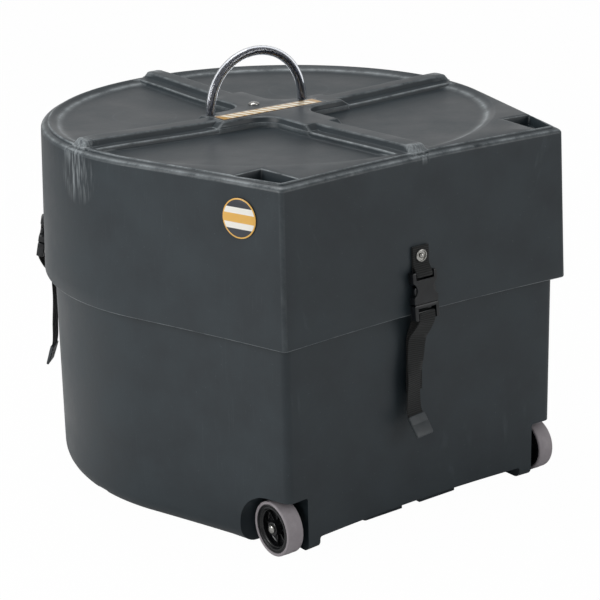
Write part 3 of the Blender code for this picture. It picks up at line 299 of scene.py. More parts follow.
def wrap_cloth(item: bpy.types.Object, rows: Rows, across: Sequence[float], along: Sequence[float]) -> None:
    """Give a band a UV map in metres: U across it and V along it.

    Args:
        item: The band.
        rows: Point numbers ring by ring, from grow.
        across: U for each point of a ring.
        along: V for each ring.
    """
    place_of = {index: (across[k], along[i]) for i, row in enumerate(rows) for k, index in enumerate(row)}
    layer = item.data.uv_layers.new(name="weave")
    for loop in item.data.loops:
        layer.data[loop.index].uv = place_of.get(loop.vertex_index, (0.0, 0.0))


def finish_piece(item: bpy.types.Object, body: Body, material: bpy.types.Material,
                 nodes: Sequence[str] = (), smooth: float = 35.0) -> bpy.types.Object:
    """Shade a piece, give it its finish and seat it on its body.

    Args:
        item: The modelled piece.
        body: The body it moves with.
        material: Its finish.
        nodes: CAD nodes that it stands for.
        smooth: Edges sharper than this angle in degrees stay crisp.

    Returns:
        The piece.
    """
    select_only(item)
    bpy.ops.object.shade_smooth_by_angle(angle=math.radians(smooth))
    item.data.materials.clear()
    item.data.materials.append(material)
    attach(item, body.value)
    if nodes:
        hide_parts(*nodes)
    LOG.info("%s: %d faces on %s", item.name, len(item.data.polygons), body.value)
    return item


# Plan of the case, shared by both shells

@dataclass(frozen=True)
class CasePlan:
    """The outline seen from above and the heights of both shells."""

    radius: float = 0.300
    face: float = 0.303
    face_half: float = 0.226
    corner_half: float = 0.2165
    corner_face: float = 0.3135
    corner: float = 0.0065
    face_hollow: float = 0.0105
    shift: float = 0.011936
    front_steps: int = 24
    corner_steps: int = 7
    side_steps: int = 10
    arc_steps: int = 84
    hollow: float = 0.0016
    wall: float = 0.0042
    foot: float = 0.004
    skirt_bottom: float = 0.275
    rim_top: float = 0.473
    edge_depth: float = 0.009
    wall_out: float = 0.0035
    flare: float = 0.0060
    bar_height: float = 0.008
    sag: float = 0.0045
    sag_start: float = 0.096
    sag_end: float = 0.292
    pocket_depth: float = 0.014
    panel_skin: float = 0.0045

    @property
    def side_angle(self) -> float:
        """Direction of the outward normal of the right straight side."""
        return (math.atan2(-self.face, self.face_half)
                + math.acos(self.radius / math.hypot(self.face_half, self.face)))

    @property
    def turn(self) -> float:
        """Direction of the outward normal of the right side as moulded, out to the full front corners."""
        return (math.atan2(-self.corner_face, self.corner_half)
                + math.acos(self.radius / math.hypot(self.corner_half, self.corner_face)))

    @property
    def skirt_lean(self) -> float:
        """How far the lid's wall leans from upright."""
        return math.atan2(self.flare, self.rim_top - self.edge_depth - self.skirt_bottom)

    @property
    def block_top(self) -> float:
        """Height of the lid's middle, after its sag."""
        return self.rim_top + self.bar_height - self.sag

    @property
    def frame(self) -> Matrix:
        """From the shells' axis to the CAD's frame."""
        return Matrix.Translation((0, self.shift, 0))

    def stations(self, corner: float) -> list[tuple[float, float, float, float, float, float, float]]:
        """Points of the outline, anticlockwise from the left front corner.

        Args:
            corner: Radius of the front corners on the outline itself. It may be negative for an outer ring.

        Returns:
            For each point its centre, radius, angle, lasting and fading hollow, and share of the back.
        """
        turn = self.turn
        cy = -self.corner_face + corner
        cx = (self.radius - corner - cy * math.sin(turn)) / math.cos(turn)
        rows = []
        for k in range(self.front_steps):
            t = k / self.front_steps
            rows.append((-cx + 2 * cx * t, cy, corner, -math.pi / 2,
                         self.face_hollow * math.sin(math.pi * t), 0.0, 0.0))
        for k in range(self.corner_steps):
            t = k / self.corner_steps
            rows.append((cx, cy, corner, -math.pi / 2 + (turn + math.pi / 2) * t, 0.0, 0.0, 0.0))
        for k in range(self.side_steps):
            t = k / self.side_steps
            rows.append((cx * (1 - t), cy * (1 - t), corner + (self.radius - corner) * t, turn, 0.0,
                         self.hollow * math.sin(math.pi * t), min(1.0, 3 * t)))
        for k in range(self.arc_steps):
            rows.append((0.0, 0.0, self.radius, turn + (math.pi - 2 * turn) * k / self.arc_steps, 0.0, 0.0,
                         1.0))
        for k in range(self.side_steps):
            t = 1 - k / self.side_steps
            rows.append((-cx * (1 - t), cy * (1 - t), corner + (self.radius - corner) * t, math.pi - turn,
                         0.0, self.hollow * math.sin(math.pi * t), min(1.0, 3 * t)))
        for k in range(self.corner_steps):
            t = k / self.corner_steps
            rows.append((-cx, cy, corner, math.pi - turn + (turn + math.pi / 2) * t, 0.0, 0.0, 0.0))
        return rows

    def ring(self, height: float, offset: float, hollow: float = 1.0, corner: Optional[float] = None) -> Ring:
        """The outline at one height, moved outwards by offset, with front corners of the given radius."""
        corner = self.corner if corner is None else corner
        return [(cx + (r + offset - kept - fading * hollow) * math.cos(a),
                 cy + (r + offset - kept - fading * hollow) * math.sin(a), height)
                for cx, cy, r, a, kept, fading, _ in self.stations(corner - offset)]

    def rounded_bottom(self, low: float, offset: float, corner: float, front: float, back: float,
                       steps: int) -> list[Ring]:
        """Rings of the base's lower edge, rounded more at the sides and back than in front."""
        rings = []
        for k in range(steps + 1):
            angle = math.pi / 2 * k / steps
            ring = []
            for cx, cy, r, a, kept, fading, share in self.stations(corner - offset):
                rounding = front + (back - front) * share
                reach = r + offset - kept - fading - rounding * (1 - math.sin(angle))
                ring.append((cx + reach * math.cos(a), cy + reach * math.sin(a),
                             low + rounding * (1 - math.cos(angle))))
            rings.append(ring)
        return rings

    def skirt(self, z: float) -> float:
        """How far the lid's wall stands outside the outline at height z."""
        start = self.rim_top - self.edge_depth
        return self.wall_out + self.flare * max(0.0, (start - z) / (start - self.skirt_bottom))

    def droop(self, x: float, y: float) -> float:
        """How far the lid's top hangs below level at a place."""
        t = min(1.0, max(0.0, (math.hypot(x, y) - self.sag_start) / (self.sag_end - self.sag_start)))
        return self.sag * (1 - t * t * (3 - 2 * t))

    def strap_matrix(self, angle: float, along: float, facets: int = 40) -> Matrix:
        """From a strap's own frame, X along the wall, Y outwards and Z up, to the CAD's frame."""
        radians = math.radians(angle)
        reach = self.face
        if angle != 270.0:
            step = (math.pi - 2 * self.side_angle) / facets
            radians = self.side_angle + step * (math.floor((radians - self.side_angle) / step) + 0.5)
            reach = self.radius * math.cos(step / 2)
        move = Matrix.Translation((reach * math.cos(radians), reach * math.sin(radians) + self.shift, 0))
        return move @ Matrix.Rotation(radians - math.pi / 2, 4, "Z") @ Matrix.Translation((-along, 0, 0))


PLAN = CasePlan()


# Finishes

def linear(code: str) -> tuple[float, float, float, float]:
    """Turn an sRGB hex colour into the linear colour that the shader takes."""
    values = [int(code[i:i + 2], 16) / 255 for i in (1, 3, 5)]
    return (*[v / 12.92 if v <= 0.04045 else ((v + 0.055) / 1.055) ** 2.4 for v in values], 1.0)


def feed(tree: bpy.types.NodeTree, node: bpy.types.Node, inputs: dict[Any, Any]) -> None:
    """Give a node's sockets their values, or link other nodes' outputs to them."""
    for key, value in inputs.items():
        if isinstance(value, bpy.types.NodeSocket):
            tree.links.new(value, node.inputs[key])
        else:
            node.inputs[key].default_value = value


def add_node(tree: bpy.types.NodeTree, kind: str, inputs: Optional[dict[Any, Any]] = None,
             out: Any = 0, **settings: Any) -> bpy.types.NodeSocket:
    """Add a node with its settings, values and links.

    Args:
        tree: The material's node tree.
        kind: The node's type name, without the words that all shader nodes start with.
        inputs: For each socket a value, or another node's output to link.
        out: The output that is wanted.
        settings: Properties of the node.

    Returns:
        That output.
    """
    node = tree.nodes.new("ShaderNode" + kind)
    for key, value in settings.items():
        setattr(node, key, value)
    feed(tree, node, inputs or {})
    return node.outputs[out]


def patches(tree: bpy.types.NodeTree, where: bpy.types.NodeSocket, size: float, low: float, high: float,
            share: float = 1.0, detail: float = 2.0, roughness: float = 0.5) -> bpy.types.NodeSocket:
    """A patchy mask: 0 where noise of a size is under low, and up to share where it is over high."""
    noise = add_node(tree, "TexNoise", {"Vector": where, "Scale": 1 / size, "Detail": detail,
                                        "Roughness": roughness})
    return add_node(tree, "MapRange", {"Value": noise, "From Min": low, "From Max": high, "To Max": share})


def paint(tree: bpy.types.NodeTree, ground: str, layers: Sequence[tuple[Any, str]]) -> bpy.types.NodeSocket:
    """Cover a ground colour with other colours in turn, each where its mask says."""
    colour = linear(ground)
    for mask, tone in layers:
        colour = add_node(tree, "Mix", {MIX_FACTOR: mask, MIX_A: colour, MIX_B: linear(tone)}, MIX_OUT,
                          data_type="RGBA")
    return colour


def start_material(name: str) -> tuple[bpy.types.Material, bpy.types.NodeTree, bpy.types.Node]:
    """A new material, its node tree and its Principled shader."""
    material = bpy.data.materials.new(name)
    material.use_nodes = True
    return material, material.node_tree, material.node_tree.nodes["Principled BSDF"]


@dataclass(frozen=True)
class Finish:
    """A finish, which makes one material."""

    name: str

    def surface(self, tree: bpy.types.NodeTree) -> dict[str, Any]:
        """Build the patterns, and say what goes into each of the shader's inputs."""
        raise NotImplementedError

    def make(self) -> bpy.types.Material:
        """Build the material."""
        material, tree, shader = start_material(self.name)
        feed(tree, shader, self.surface(tree))
        return material


@dataclass(frozen=True)
class MouldedPolyethylene(Finish):
    """Rotomoulded polyethylene: a dull skin with a fine grain, flow mottling, pale scuffs, worn edges and
    painted highlights of faint moulded rings.
    """

    name: str = "rotomoulded_polyethylene"
    dark: str = "#21292e"
    light: str = "#293237"
    # Colour of scuffs and specks, and also of the painted highlights on the moulded rings
    scuff_and_ring_highlight: str = "#4d565b"
    worn: str = "#a3aaad"
    roughness: float = 0.41
    specular: float = 0.42
    mottle_size: float = 0.070
    grain_size: float = 0.0011
    peel_size: float = 0.009
    speck_size: float = 0.0024
    streak_length: float = 0.060
    streak_width: float = 0.0012
    streak_turns: tuple[float, float] = (0.35, 1.9)
    streak_range: tuple[float, float, float] = (0.66, 0.80, 0.40)
    gap_range: tuple[float, float] = (0.47, 0.62)
    speck_range: tuple[float, float, float] = (0.70, 0.78, 0.55)
    rub_range: tuple[float, float] = (0.32, 0.62)
    drag_range: tuple[float, float] = (0.44, 0.72)
    rub_size: float = 0.030
    rub_share: float = 0.85
    # Painted highlights that stand in for faint moulded rings on the back panels: centres, radius, line
    # width, lowest height and strength
    ring_spots: tuple[tuple[float, float], ...] = ((-0.125, 0.129), (0.128, 0.126))
    ring_radius: float = 0.042
    ring_line: float = 0.0011
    ring_level: float = 0.455
    ring_share: float = 0.22
    drag_width: float = 0.0030
    drag_length: float = 0.030
    drag_spots: tuple[tuple[Point, float, float], ...] = (
        ((-0.302, 0.005, 0.440), 0.040, 0.55), ((-0.298, 0.015, 0.476), 0.030, 0.7),
        ((0.0, -0.290, 0.479), 0.022, 0.8), ((0.0, 0.312, 0.476), 0.025, 0.5),
        ((0.301, 0.012, 0.474), 0.025, 0.5))

    def scratches(self, tree: bpy.types.NodeTree, place_of: bpy.types.NodeSocket) -> bpy.types.NodeSocket:
        """Long thin scuffs, drawn in two directions and left out in patches."""
        lines = []
        for turn in self.streak_turns:
            lane = add_node(tree, "Mapping", {
                "Vector": place_of, "Rotation": (0.25, 0.1, turn),
                "Scale": (1 / self.streak_length, 1 / self.streak_width, 1 / self.streak_length)})
            lines.append(patches(tree, lane, 1.0, *self.streak_range, detail=3.0))
        gaps = patches(tree, place_of, 2.2 * self.mottle_size, *self.gap_range, detail=3.0)
        both = add_node(tree, "Math", {0: lines[0], 1: lines[1]}, operation="MAXIMUM")
        return add_node(tree, "Math", {0: both, 1: gaps}, operation="MULTIPLY")

    def painted_ring_highlights(self, tree: bpy.types.NodeTree,
                   place_of: bpy.types.NodeSocket) -> list[bpy.types.NodeSocket]:
        """Painted highlights: faint pale rings on the back panels, which stand in for the light on faint
        rings moulded into them.
        """
        height = add_node(tree, "SeparateXYZ", {"Vector": place_of}, "Z")
        above = add_node(tree, "Math", {0: height, 1: self.ring_level}, operation="GREATER_THAN")
        marks = []
        for x, y in self.ring_spots:
            beside = add_node(tree, "Mapping", {"Vector": place_of, "Location": (-x, -y, 0.0),
                                                "Scale": (1.0, 1.0, 0.0)})
            reach = add_node(tree, "VectorMath", {0: beside}, "Value", operation="LENGTH")
            line = add_node(tree, "Math", {0: reach, 1: self.ring_radius, 2: self.ring_line},
                            operation="COMPARE")
            mark = add_node(tree, "Math", {0: line, 1: above}, operation="MULTIPLY")
            marks.append(add_node(tree, "Math", {0: mark, 1: self.ring_share}, operation="MULTIPLY"))
        return marks

    def drag_marks(self, tree: bpy.types.NodeTree,
                   place_of: bpy.types.NodeSocket) -> list[bpy.types.NodeSocket]:
        """Streaks at the ends of the lid's bars, where other cases have been dragged past."""
        lane = add_node(tree, "Mapping", {
            "Vector": place_of, "Scale": (1 / self.drag_width, 1 / self.drag_width, 1 / self.drag_length)})
        streak = patches(tree, lane, 1.0, *self.drag_range, detail=4.0)
        marks = []
        for spot, size, share in self.drag_spots:
            away = add_node(tree, "VectorMath", {0: place_of, 1: spot}, "Value", operation="DISTANCE")
            near = add_node(tree, "MapRange", {"Value": away, "From Min": size, "From Max": size * 0.35,
                                               "To Max": share})
            marks.append(add_node(tree, "Math", {0: near, 1: streak}, operation="MULTIPLY"))
        return marks

    def surface(self, tree: bpy.types.NodeTree) -> dict[str, Any]:
        """Mottled skin under specks, scuffs, painted ring highlights and rubbed edges."""
        place_of = add_node(tree, "TexCoord", out="Object")
        mottle = add_node(tree, "TexNoise", {"Vector": place_of, "Scale": 1 / self.mottle_size, "Detail": 5.0,
                                             "Roughness": 0.6})
        soft = add_node(tree, "MapRange", {"Value": mottle, "From Min": 0.35, "From Max": 0.65})
        edge = add_node(tree, "Attribute", out="Fac", attribute_name="wear")
        rub = patches(tree, place_of, self.rub_size, *self.rub_range, detail=8.0, roughness=0.75)
        bare = add_node(tree, "Math", {0: edge, 1: rub}, operation="MULTIPLY")
        bare = add_node(tree, "Math", {0: bare, 1: self.rub_share}, operation="MULTIPLY")
        specks = patches(tree, place_of, self.speck_size, *self.speck_range)
        layers = [(soft, self.light), (specks, self.scuff_and_ring_highlight), (self.scratches(tree, place_of), self.scuff_and_ring_highlight)]
        # Painted highlights of faint moulded rings on the back panels, in the scuff colour
        layers += [(mask, self.scuff_and_ring_highlight) for mask in self.painted_ring_highlights(tree, place_of)]
        layers += [(mask, self.worn) for mask in self.drag_marks(tree, place_of)]
        layers.append((bare, self.worn))
        rough = add_node(tree, "MapRange", {
            "Value": mottle, "From Min": 0.3, "From Max": 0.7,
            "To Min": self.roughness - 0.05, "To Max": self.roughness + 0.07})
        # Grain of the mould, drawn at about a millimetre so that it shows, over a slow orange peel
        normal = None
        for size, detail, strength, depth in ((self.peel_size, 2.0, 0.10, 0.0010),
                                              (self.grain_size, 3.0, 0.22, 0.00022)):
            height = add_node(tree, "TexNoise", {"Vector": place_of, "Scale": 1 / size, "Detail": detail})
            inputs = {"Height": height, "Strength": strength, "Distance": depth}
            normal = add_node(tree, "Bump", {**inputs, "Normal": normal} if normal else inputs)
        return {"Base Color": paint(tree, self.dark, layers), "Roughness": rough, "Normal": normal,
                "Specular IOR Level": self.specular}


@dataclass(frozen=True)
class MouldedPlastic(Finish):
    """Injection moulded plastic: a smooth skin with a faint grain and a little dust in patches."""

    colour: str
    dust: str
    roughness: float
    grain_size: float = 0.0009
    grain: float = 0.10
    cloud_size: float = 0.014

    def surface(self, tree: bpy.types.NodeTree) -> dict[str, Any]:
        """Clouded colour and gloss over a fine grain."""
        place_of = add_node(tree, "TexCoord", out="Object")
        cloud = add_node(tree, "TexNoise", {"Vector": place_of, "Scale": 1 / self.cloud_size, "Detail": 5.0,
                                            "Roughness": 0.65})
        mask = add_node(tree, "MapRange", {"Value": cloud, "From Min": 0.42, "From Max": 0.75, "To Max": 0.6})
        rough = add_node(tree, "MapRange", {
            "Value": cloud, "To Min": self.roughness - 0.06, "To Max": self.roughness + 0.10})
        grain = add_node(tree, "TexNoise", {"Vector": place_of, "Scale": 1 / self.grain_size, "Detail": 2.0})
        bump = add_node(tree, "Bump", {"Height": grain, "Strength": self.grain, "Distance": 0.0002})
        return {"Base Color": paint(tree, self.colour, [(mask, self.dust)]), "Roughness": rough,
                "Normal": bump}


@dataclass(frozen=True)
class WovenWebbing(Finish):
    """Polypropylene webbing: weft ribs across the band and fine warp lines along it, with a painted highlight
    on the crest of each rib.
    """

    name: str = "woven_polypropylene_webbing"
    thread: str = "#0d0e0e"
    # Painted highlight on the crests of the weft ribs
    crown: str = "#272929"
    rib_pitch: float = 0.0027
    warp_pitch: float = 0.0015
    warp_share: float = 0.15
    wobble: float = 0.3
    wobble_size: float = 0.006

    def surface(self, tree: bpy.types.NodeTree) -> dict[str, Any]:
        """Two sets of waves, by the band's own UV map in metres."""
        uv = add_node(tree, "UVMap", uv_map="weave")
        parts = add_node(tree, "SeparateXYZ", {"Vector": uv}).node.outputs
        drift = add_node(tree, "TexNoise", {"Vector": uv, "Scale": 1 / self.wobble_size, "Detail": 3.0})
        waves = []
        for run, pitch in ((parts[1], self.rib_pitch), (parts[0], self.warp_pitch)):
            turns = add_node(tree, "Math", {0: run, 1: 2 * math.pi / pitch}, operation="MULTIPLY")
            turns = add_node(tree, "Math", {0: drift, 1: self.wobble, 2: turns}, operation="MULTIPLY_ADD")
            sine = add_node(tree, "Math", {0: turns}, operation="SINE")
            waves.append(add_node(tree, "MapRange", {"Value": sine, "From Min": -1.0}))
        height = add_node(tree, "Math", {0: waves[1], 1: self.warp_share, 2: waves[0]},
                          operation="MULTIPLY_ADD")
        bump = add_node(tree, "Bump", {"Height": height, "Strength": 0.7, "Distance": 0.0004})
        # The weft ribs' crests are painted lighter by the same wave as the bump: a painted highlight
        return {"Base Color": paint(tree, self.thread, [(waves[0], self.crown)]), "Normal": bump,
                "Roughness": 0.85, "Sheen Weight": 0.10, "Sheen Roughness": 0.5, "Specular IOR Level": 0.35}


@dataclass(frozen=True)
class BraidedRope(Finish):
    """Braided cord seen through the sleeve: dark navy strands that cross in a close diamond pattern, with
    painted shade in the valleys between them.
    """

    name: str = "braided_navy_cord"
    # Painted shade in the valleys between the strands
    valley_shade: str = "#11131c"
    strand: str = "#1d2030"
    pitch: float = 0.0050

    def surface(self, tree: bpy.types.NodeTree) -> dict[str, Any]:
        """Two sets of slanting waves, by the rope's own UV map in metres."""
        uv = add_node(tree, "UVMap", uv_map="weave")
        parts = add_node(tree, "SeparateXYZ", {"Vector": uv}).node.outputs
        turn = 2 * math.pi / self.pitch
        waves = []
        for way in (1.0, -1.0):
            slant = add_node(tree, "Math", {0: parts[1], 1: way * turn}, operation="MULTIPLY")
            turns = add_node(tree, "Math", {0: parts[0], 1: turn, 2: slant}, operation="MULTIPLY_ADD")
            waves.append(add_node(tree, "Math", {0: turns}, operation="SINE"))
        height = add_node(tree, "Math", {0: waves[0], 1: waves[1]}, operation="MAXIMUM")
        share = add_node(tree, "MapRange", {"Value": height, "From Min": -0.6})
        bump = add_node(tree, "Bump", {"Height": height, "Strength": 0.3, "Distance": 0.0003})
        # The valleys between strands are painted darker by the same height as the bump: painted shade
        return {"Base Color": paint(tree, self.valley_shade, [(share, self.strand)]), "Normal": bump,
                "Roughness": 0.6}


@dataclass(frozen=True)
class ClearTube(Finish):
    """Extruded flexible PVC: clear, very slightly blue, with faint draw lines in its gloss."""

    name: str = "clear_extruded_pvc"
    tint: str = "#f2f5fb"
    wave_size: float = 0.010

    def surface(self, tree: bpy.types.NodeTree) -> dict[str, Any]:
        """Clear body with a slightly uneven skin."""
        place_of = add_node(tree, "TexCoord", out="Object")
        wave = add_node(tree, "TexNoise", {"Vector": place_of, "Scale": 1 / self.wave_size, "Detail": 1.0})
        bump = add_node(tree, "Bump", {"Height": wave, "Strength": 0.03, "Distance": 0.0004})
        return {"Base Color": linear(self.tint), "Roughness": 0.04, "IOR": 1.53, "Transmission Weight": 1.0,
                "Normal": bump}


@dataclass(frozen=True)
class NickelPlate(Finish):
    """Nickel plated steel: bright, with fine turning haze that varies the gloss."""

    name: str = "nickel_plated_steel"
    colour: str = "#c9c8c4"
    haze: str = "#8e8d89"
    roughness: float = 0.18
    haze_size: float = 0.0015

    def surface(self, tree: bpy.types.NodeTree) -> dict[str, Any]:
        """Hazed colour and gloss."""
        place_of = add_node(tree, "TexCoord", out="Object")
        haze = add_node(tree, "TexNoise", {"Vector": place_of, "Scale": 1 / self.haze_size, "Detail": 4.0})
        rough = add_node(tree, "MapRange", {
            "Value": haze, "To Min": self.roughness - 0.08, "To Max": self.roughness + 0.14})
        return {"Base Color": paint(tree, self.colour, [(haze, self.haze)]), "Roughness": rough,
                "Metallic": 1.0}


@dataclass(frozen=True)
class GoldStrip(Finish):
    """Bare foil strip: brushed gold ground, a dark keyline round it and a row of pale slanted bars."""

    name: str = "printed_gold_strip"
    gold: str = "#b17f2c"
    haze: str = "#cf9f45"
    pale: str = "#fbf3de"
    dark: str = "#1c170d"
    length: float = 0.164
    width: float = 0.031
    centre: tuple[float, float] = (-0.0097, -0.0052)
    bar_pitch: float = 0.0118
    bar_slant: float = 0.35
    bar_edge: tuple[float, float] = (0.17, 0.20)
    field: tuple[float, float] = (0.0710, 0.0094)
    keyline: tuple[float, float] = (0.0030, 0.0046)
    blur: float = 0.0002
    haze_size: float = 0.008

    def surface(self, tree: bpy.types.NodeTree) -> dict[str, Any]:
        """Print by the distance from the strip's middle."""
        place_of = add_node(tree, "TexCoord", out="Object")
        local = add_node(tree, "Mapping", {
            "Vector": place_of, "Location": (-self.centre[0], -self.centre[1] - PLAN.shift, 0)})
        parts = add_node(tree, "SeparateXYZ", {"Vector": local}).node.outputs
        # Slanted bars: X sheared by Y, wrapped to one pitch
        lean = add_node(tree, "Math", {0: parts[1], 1: self.bar_slant, 2: parts[0]}, operation="MULTIPLY_ADD")
        cell = add_node(tree, "Math", {0: lean, 1: self.bar_pitch}, operation="DIVIDE")
        saw = add_node(tree, "Math", {0: cell, 1: 0.5}, operation="PINGPONG")
        low, high = self.bar_edge
        bars = add_node(tree, "MapRange", {"Value": saw, "From Min": low, "From Max": high})
        lines = []
        for part, side, end, line in zip(parts, (self.length, self.width), self.field, self.keyline):
            far = add_node(tree, "Math", {0: part}, operation="ABSOLUTE")
            inside = add_node(tree, "MapRange", {
                "Value": far, "From Min": end, "From Max": end + 2 * self.blur, "To Min": 1.0, "To Max": 0.0})
            bars = add_node(tree, "Math", {0: bars, 1: inside}, operation="MULTIPLY")
            edge = side / 2 - line
            lines.append(add_node(tree, "MapRange", {
                "Value": far, "From Min": edge - self.blur, "From Max": edge}))
        border = add_node(tree, "Math", {0: lines[0], 1: lines[1]}, operation="MAXIMUM")
        haze = add_node(tree, "TexNoise", {"Vector": place_of, "Scale": 1 / self.haze_size, "Detail": 4.0})
        layers = [(haze, self.haze), (bars, self.pale), (border, self.dark)]
        return {"Base Color": paint(tree, self.gold, layers), "Metallic": 0.15, "Roughness": 0.30}


@dataclass(frozen=True)
class RoundSticker(Finish):
    """Printed vinyl disc: a plain gold band across white, dark caps above and below, and a gold rim."""

    name: str = "printed_vinyl_disc"
    white: str = "#eceae2"
    dark: str = "#33363d"
    gold: str = "#e0ae55"
    radius: float = 0.024
    band: float = 0.0052
    cap: float = 0.0125
    rim: float = 0.0016
    blur: float = 0.0002

    def surface(self, tree: bpy.types.NodeTree) -> dict[str, Any]:
        """Layers that cover what lies beyond their edge, or within it for the band."""
        uv = add_node(tree, "UVMap", uv_map="weave")
        reach = add_node(tree, "VectorMath", {0: uv}, "Value", operation="LENGTH")
        height = add_node(tree, "SeparateXYZ", {"Vector": uv}, "Y")
        rise = add_node(tree, "Math", {0: height}, operation="ABSOLUTE")
        edge = self.radius - self.rim
        layers = []
        for value, start, end, tone in ((rise, self.cap, self.cap + self.blur, self.dark),
                                        (rise, self.band + self.blur, self.band, self.gold),
                                        (reach, edge - self.blur, edge, self.gold)):
            mask = add_node(tree, "MapRange", {"Value": value, "From Min": start, "From Max": end})
            layers.append((mask, tone))
        return {"Base Color": paint(tree, self.white, layers), "Roughness": 0.32}


@dataclass
class Finishes:
    """All finishes of the case, built once."""

    case: bpy.types.Material
    buckle: bpy.types.Material
    webbing: bpy.types.Material
    tip: bpy.types.Material
    steel: bpy.types.Material
    tyre: bpy.types.Material
    hub: bpy.types.Material
    tube: bpy.types.Material
    rope: bpy.types.Material
    strip: bpy.types.Material
    badge: bpy.types.Material


def make_finishes() -> Finishes:
    """Build every finish."""
    tip = MouldedPlastic("moulded_vinyl_tip", "#3a3f42", "#4d5255", 0.45, grain_size=0.0012, grain=0.25)
    return Finishes(
        case=MouldedPolyethylene().make(),
        buckle=MouldedPlastic("moulded_acetal", "#0c0f12", "#181c20", 0.30).make(),
        webbing=WovenWebbing().make(),
        tip=tip.make(),
        steel=NickelPlate().make(),
        tyre=MouldedPlastic("moulded_grey_rubber", "#8f898d", "#a5a0a3", 0.62, grain=0.20).make(),
        hub=MouldedPlastic("moulded_polypropylene_hub", "#0f1012", "#1a1b1e", 0.24, grain=0.04).make(),
        tube=ClearTube().make(),
        rope=BraidedRope().make(),
        strip=GoldStrip().make(),
        badge=RoundSticker().make())


# Lid

@dataclass
class LidShell:
    """The moulded lid: skirt, rounded rim, dished quarters, raised cross, block and wheel pockets."""

    plan: CasePlan
    shoulder_drop: float = 0.0028
    shoulder_width: float = 0.0050
    edge_steps: int = 8
    dish_radius: float = 0.291
    dish_floor: float = 0.268
    dish_depth: float = 0.007
    ledge_half: float = 0.028
    ledge_corner: float = 0.030
    bar_top: float = 0.0120
    bar_foot: float = 0.0142
    bar_inset: float = 0.003
    bar_sink: float = 0.006
    block_x: float = 0.107
    block_y: float = 0.117
    block_slope: float = 0.010
    pocket_corners: tuple[tuple[float, float], ...] = (
        (0.1845, -0.3025), (0.2105, -0.3038), (0.2318, -0.2425), (0.1900, -0.2380))
    pocket_turn: float = 0.0024
    margin: float = 0.006
    rub_reach: float = 0.27
    rub_front: float = 0.28
    rub_width: float = 0.0011
    rim_wear: float = 0.85
    bar_rub: float = 0.014
    bar_wear: float = 0.6
    grid: float = 0.026
    grid_start: float = 0.0031
    sag_depth: float = 0.030
    sag_fade: float = 0.010

    def outside(self) -> bpy.types.Object:
        """The closed outer form, up to the flat land at rim height."""
        plan = self.plan
        low = plan.skirt_bottom
        edge = plan.rim_top - plan.edge_depth
        out = plan.skirt(low)
        rings = [plan.ring(low, out - 0.0016), plan.ring(low + 0.0005, out - 0.0006),
                 plan.ring(low + 0.0016, out)]
        steps = 10
        for k in range(1, steps + 1):
            z = low + (edge - low) * k / steps
            rings.append(plan.ring(z, plan.skirt(z)))
        width = plan.wall_out + self.shoulder_width
        for k in range(1, self.edge_steps + 1):
            angle = math.pi / 2 * k / self.edge_steps
            fade = 1 - k / self.edge_steps
            rings.append(plan.ring(edge + (plan.edge_depth - self.shoulder_drop) * math.sin(angle),
                                   plan.wall_out - width * (1 - math.cos(angle)), fade))
        top = plan.rim_top
        for z, offset in ((top - 0.0021, -0.0054), (top - 0.0009, -0.0060), (top - 0.0002, -0.0068),
                          (top, -0.0082)):
            rings.append(plan.ring(z, offset, 0.0))
        return grow("lid_shell_dressed", rings)[0]

    def dish_tool(self) -> bpy.types.Object:
        """The cutter of one dished quarter, in the quadrant +X +Y, with eased edges."""
        steps = [(self.margin, 0.0024, 0.0012), (0.0, 0.0024, 0.0012), (-0.0002, 0.0013, 0.0004),
                 (-0.0008, 0.0005, 0.0), (-0.0019, 0.0, 0.0), (-0.0032, -0.0002, 0.0),
                 (-0.0045, -0.0005, 0.0), (-0.0056, -0.0011, 0.0), (-0.0064, -0.0022, 0.0),
                 (-0.0069, -0.0038, 0.0), (-0.0070, -0.0060, 0.0)]
        rings = []
        for drop, grown, wider in steps:
            share = 2 / math.pi * math.asin(min(1.0, max(0.0, -drop / self.dish_depth)))
            radius = self.dish_radius + wider - (self.dish_radius - self.dish_floor) * share
            rings.append([(x, y, self.plan.rim_top + drop) for x, y in self.dish_outline(grown, radius)])
        return grow("dish", list(reversed(rings)))[0]

    def dish_outline(self, grown: float, radius: float) -> Outline:
        """One quarter's outline, its straight sides moved outwards by grown."""
        side = self.ledge_half - grown
        middle = self.ledge_half + self.ledge_corner
        corner = self.ledge_corner + grown
        points = arc(middle, middle, corner, math.pi, math.pi / 2, 12)
        start = math.asin(side / radius)
        soft = 0.05
        for k in range(37):
            t = k / 36
            angle = start + (math.pi / 2 - 2 * start) * t
            ease = 0.0030 * (math.exp(-t / soft) + math.exp(-(1 - t) / soft))
            points.append(((radius - ease) * math.cos(angle), (radius - ease) * math.sin(angle)))
        return points

    def bar_tool(self, reach_low: float, reach_high: float, along_x: bool) -> bpy.types.Object:
        """One bar of the cross with a soft top edge, rounded ends and a swept foot."""
        top = self.plan.rim_top + self.plan.bar_height
        base = self.plan.rim_top
        stages = [(base - self.bar_sink, self.bar_foot + 0.0016), (base, self.bar_foot + 0.0016),
                  (base + 0.0004, self.bar_foot + 0.0006), (base + 0.0013, self.bar_foot),
                  (top - 0.0030, self.bar_top + 0.0003), (top - 0.0016, self.bar_top - 0.0003),
                  (top - 0.0006, self.bar_top - 0.0013), (top - 0.0001, self.bar_top - 0.0027),
                  (top, self.bar_top - 0.0042)]
        rings = []
        for z, half in stages:
            pull = (self.bar_foot + 0.0016 - half) * 1.25
            low, high = -reach_low + pull, reach_high - pull
            turn = 0.0055
            ring = []
            for cx, cy, start in ((high - turn, half - turn, 0.0), (low + turn, half - turn, 90.0),
                                  (low + turn, -half + turn, 180.0), (high - turn, -half + turn, 270.0)):
                ring += arc(cx, cy, turn, math.radians(start), math.pi / 2, 5)
            rings.append([(x, y, z) if along_x else (-y, x, z) for x, y in ring])
        return grow("bar", rings)[0]

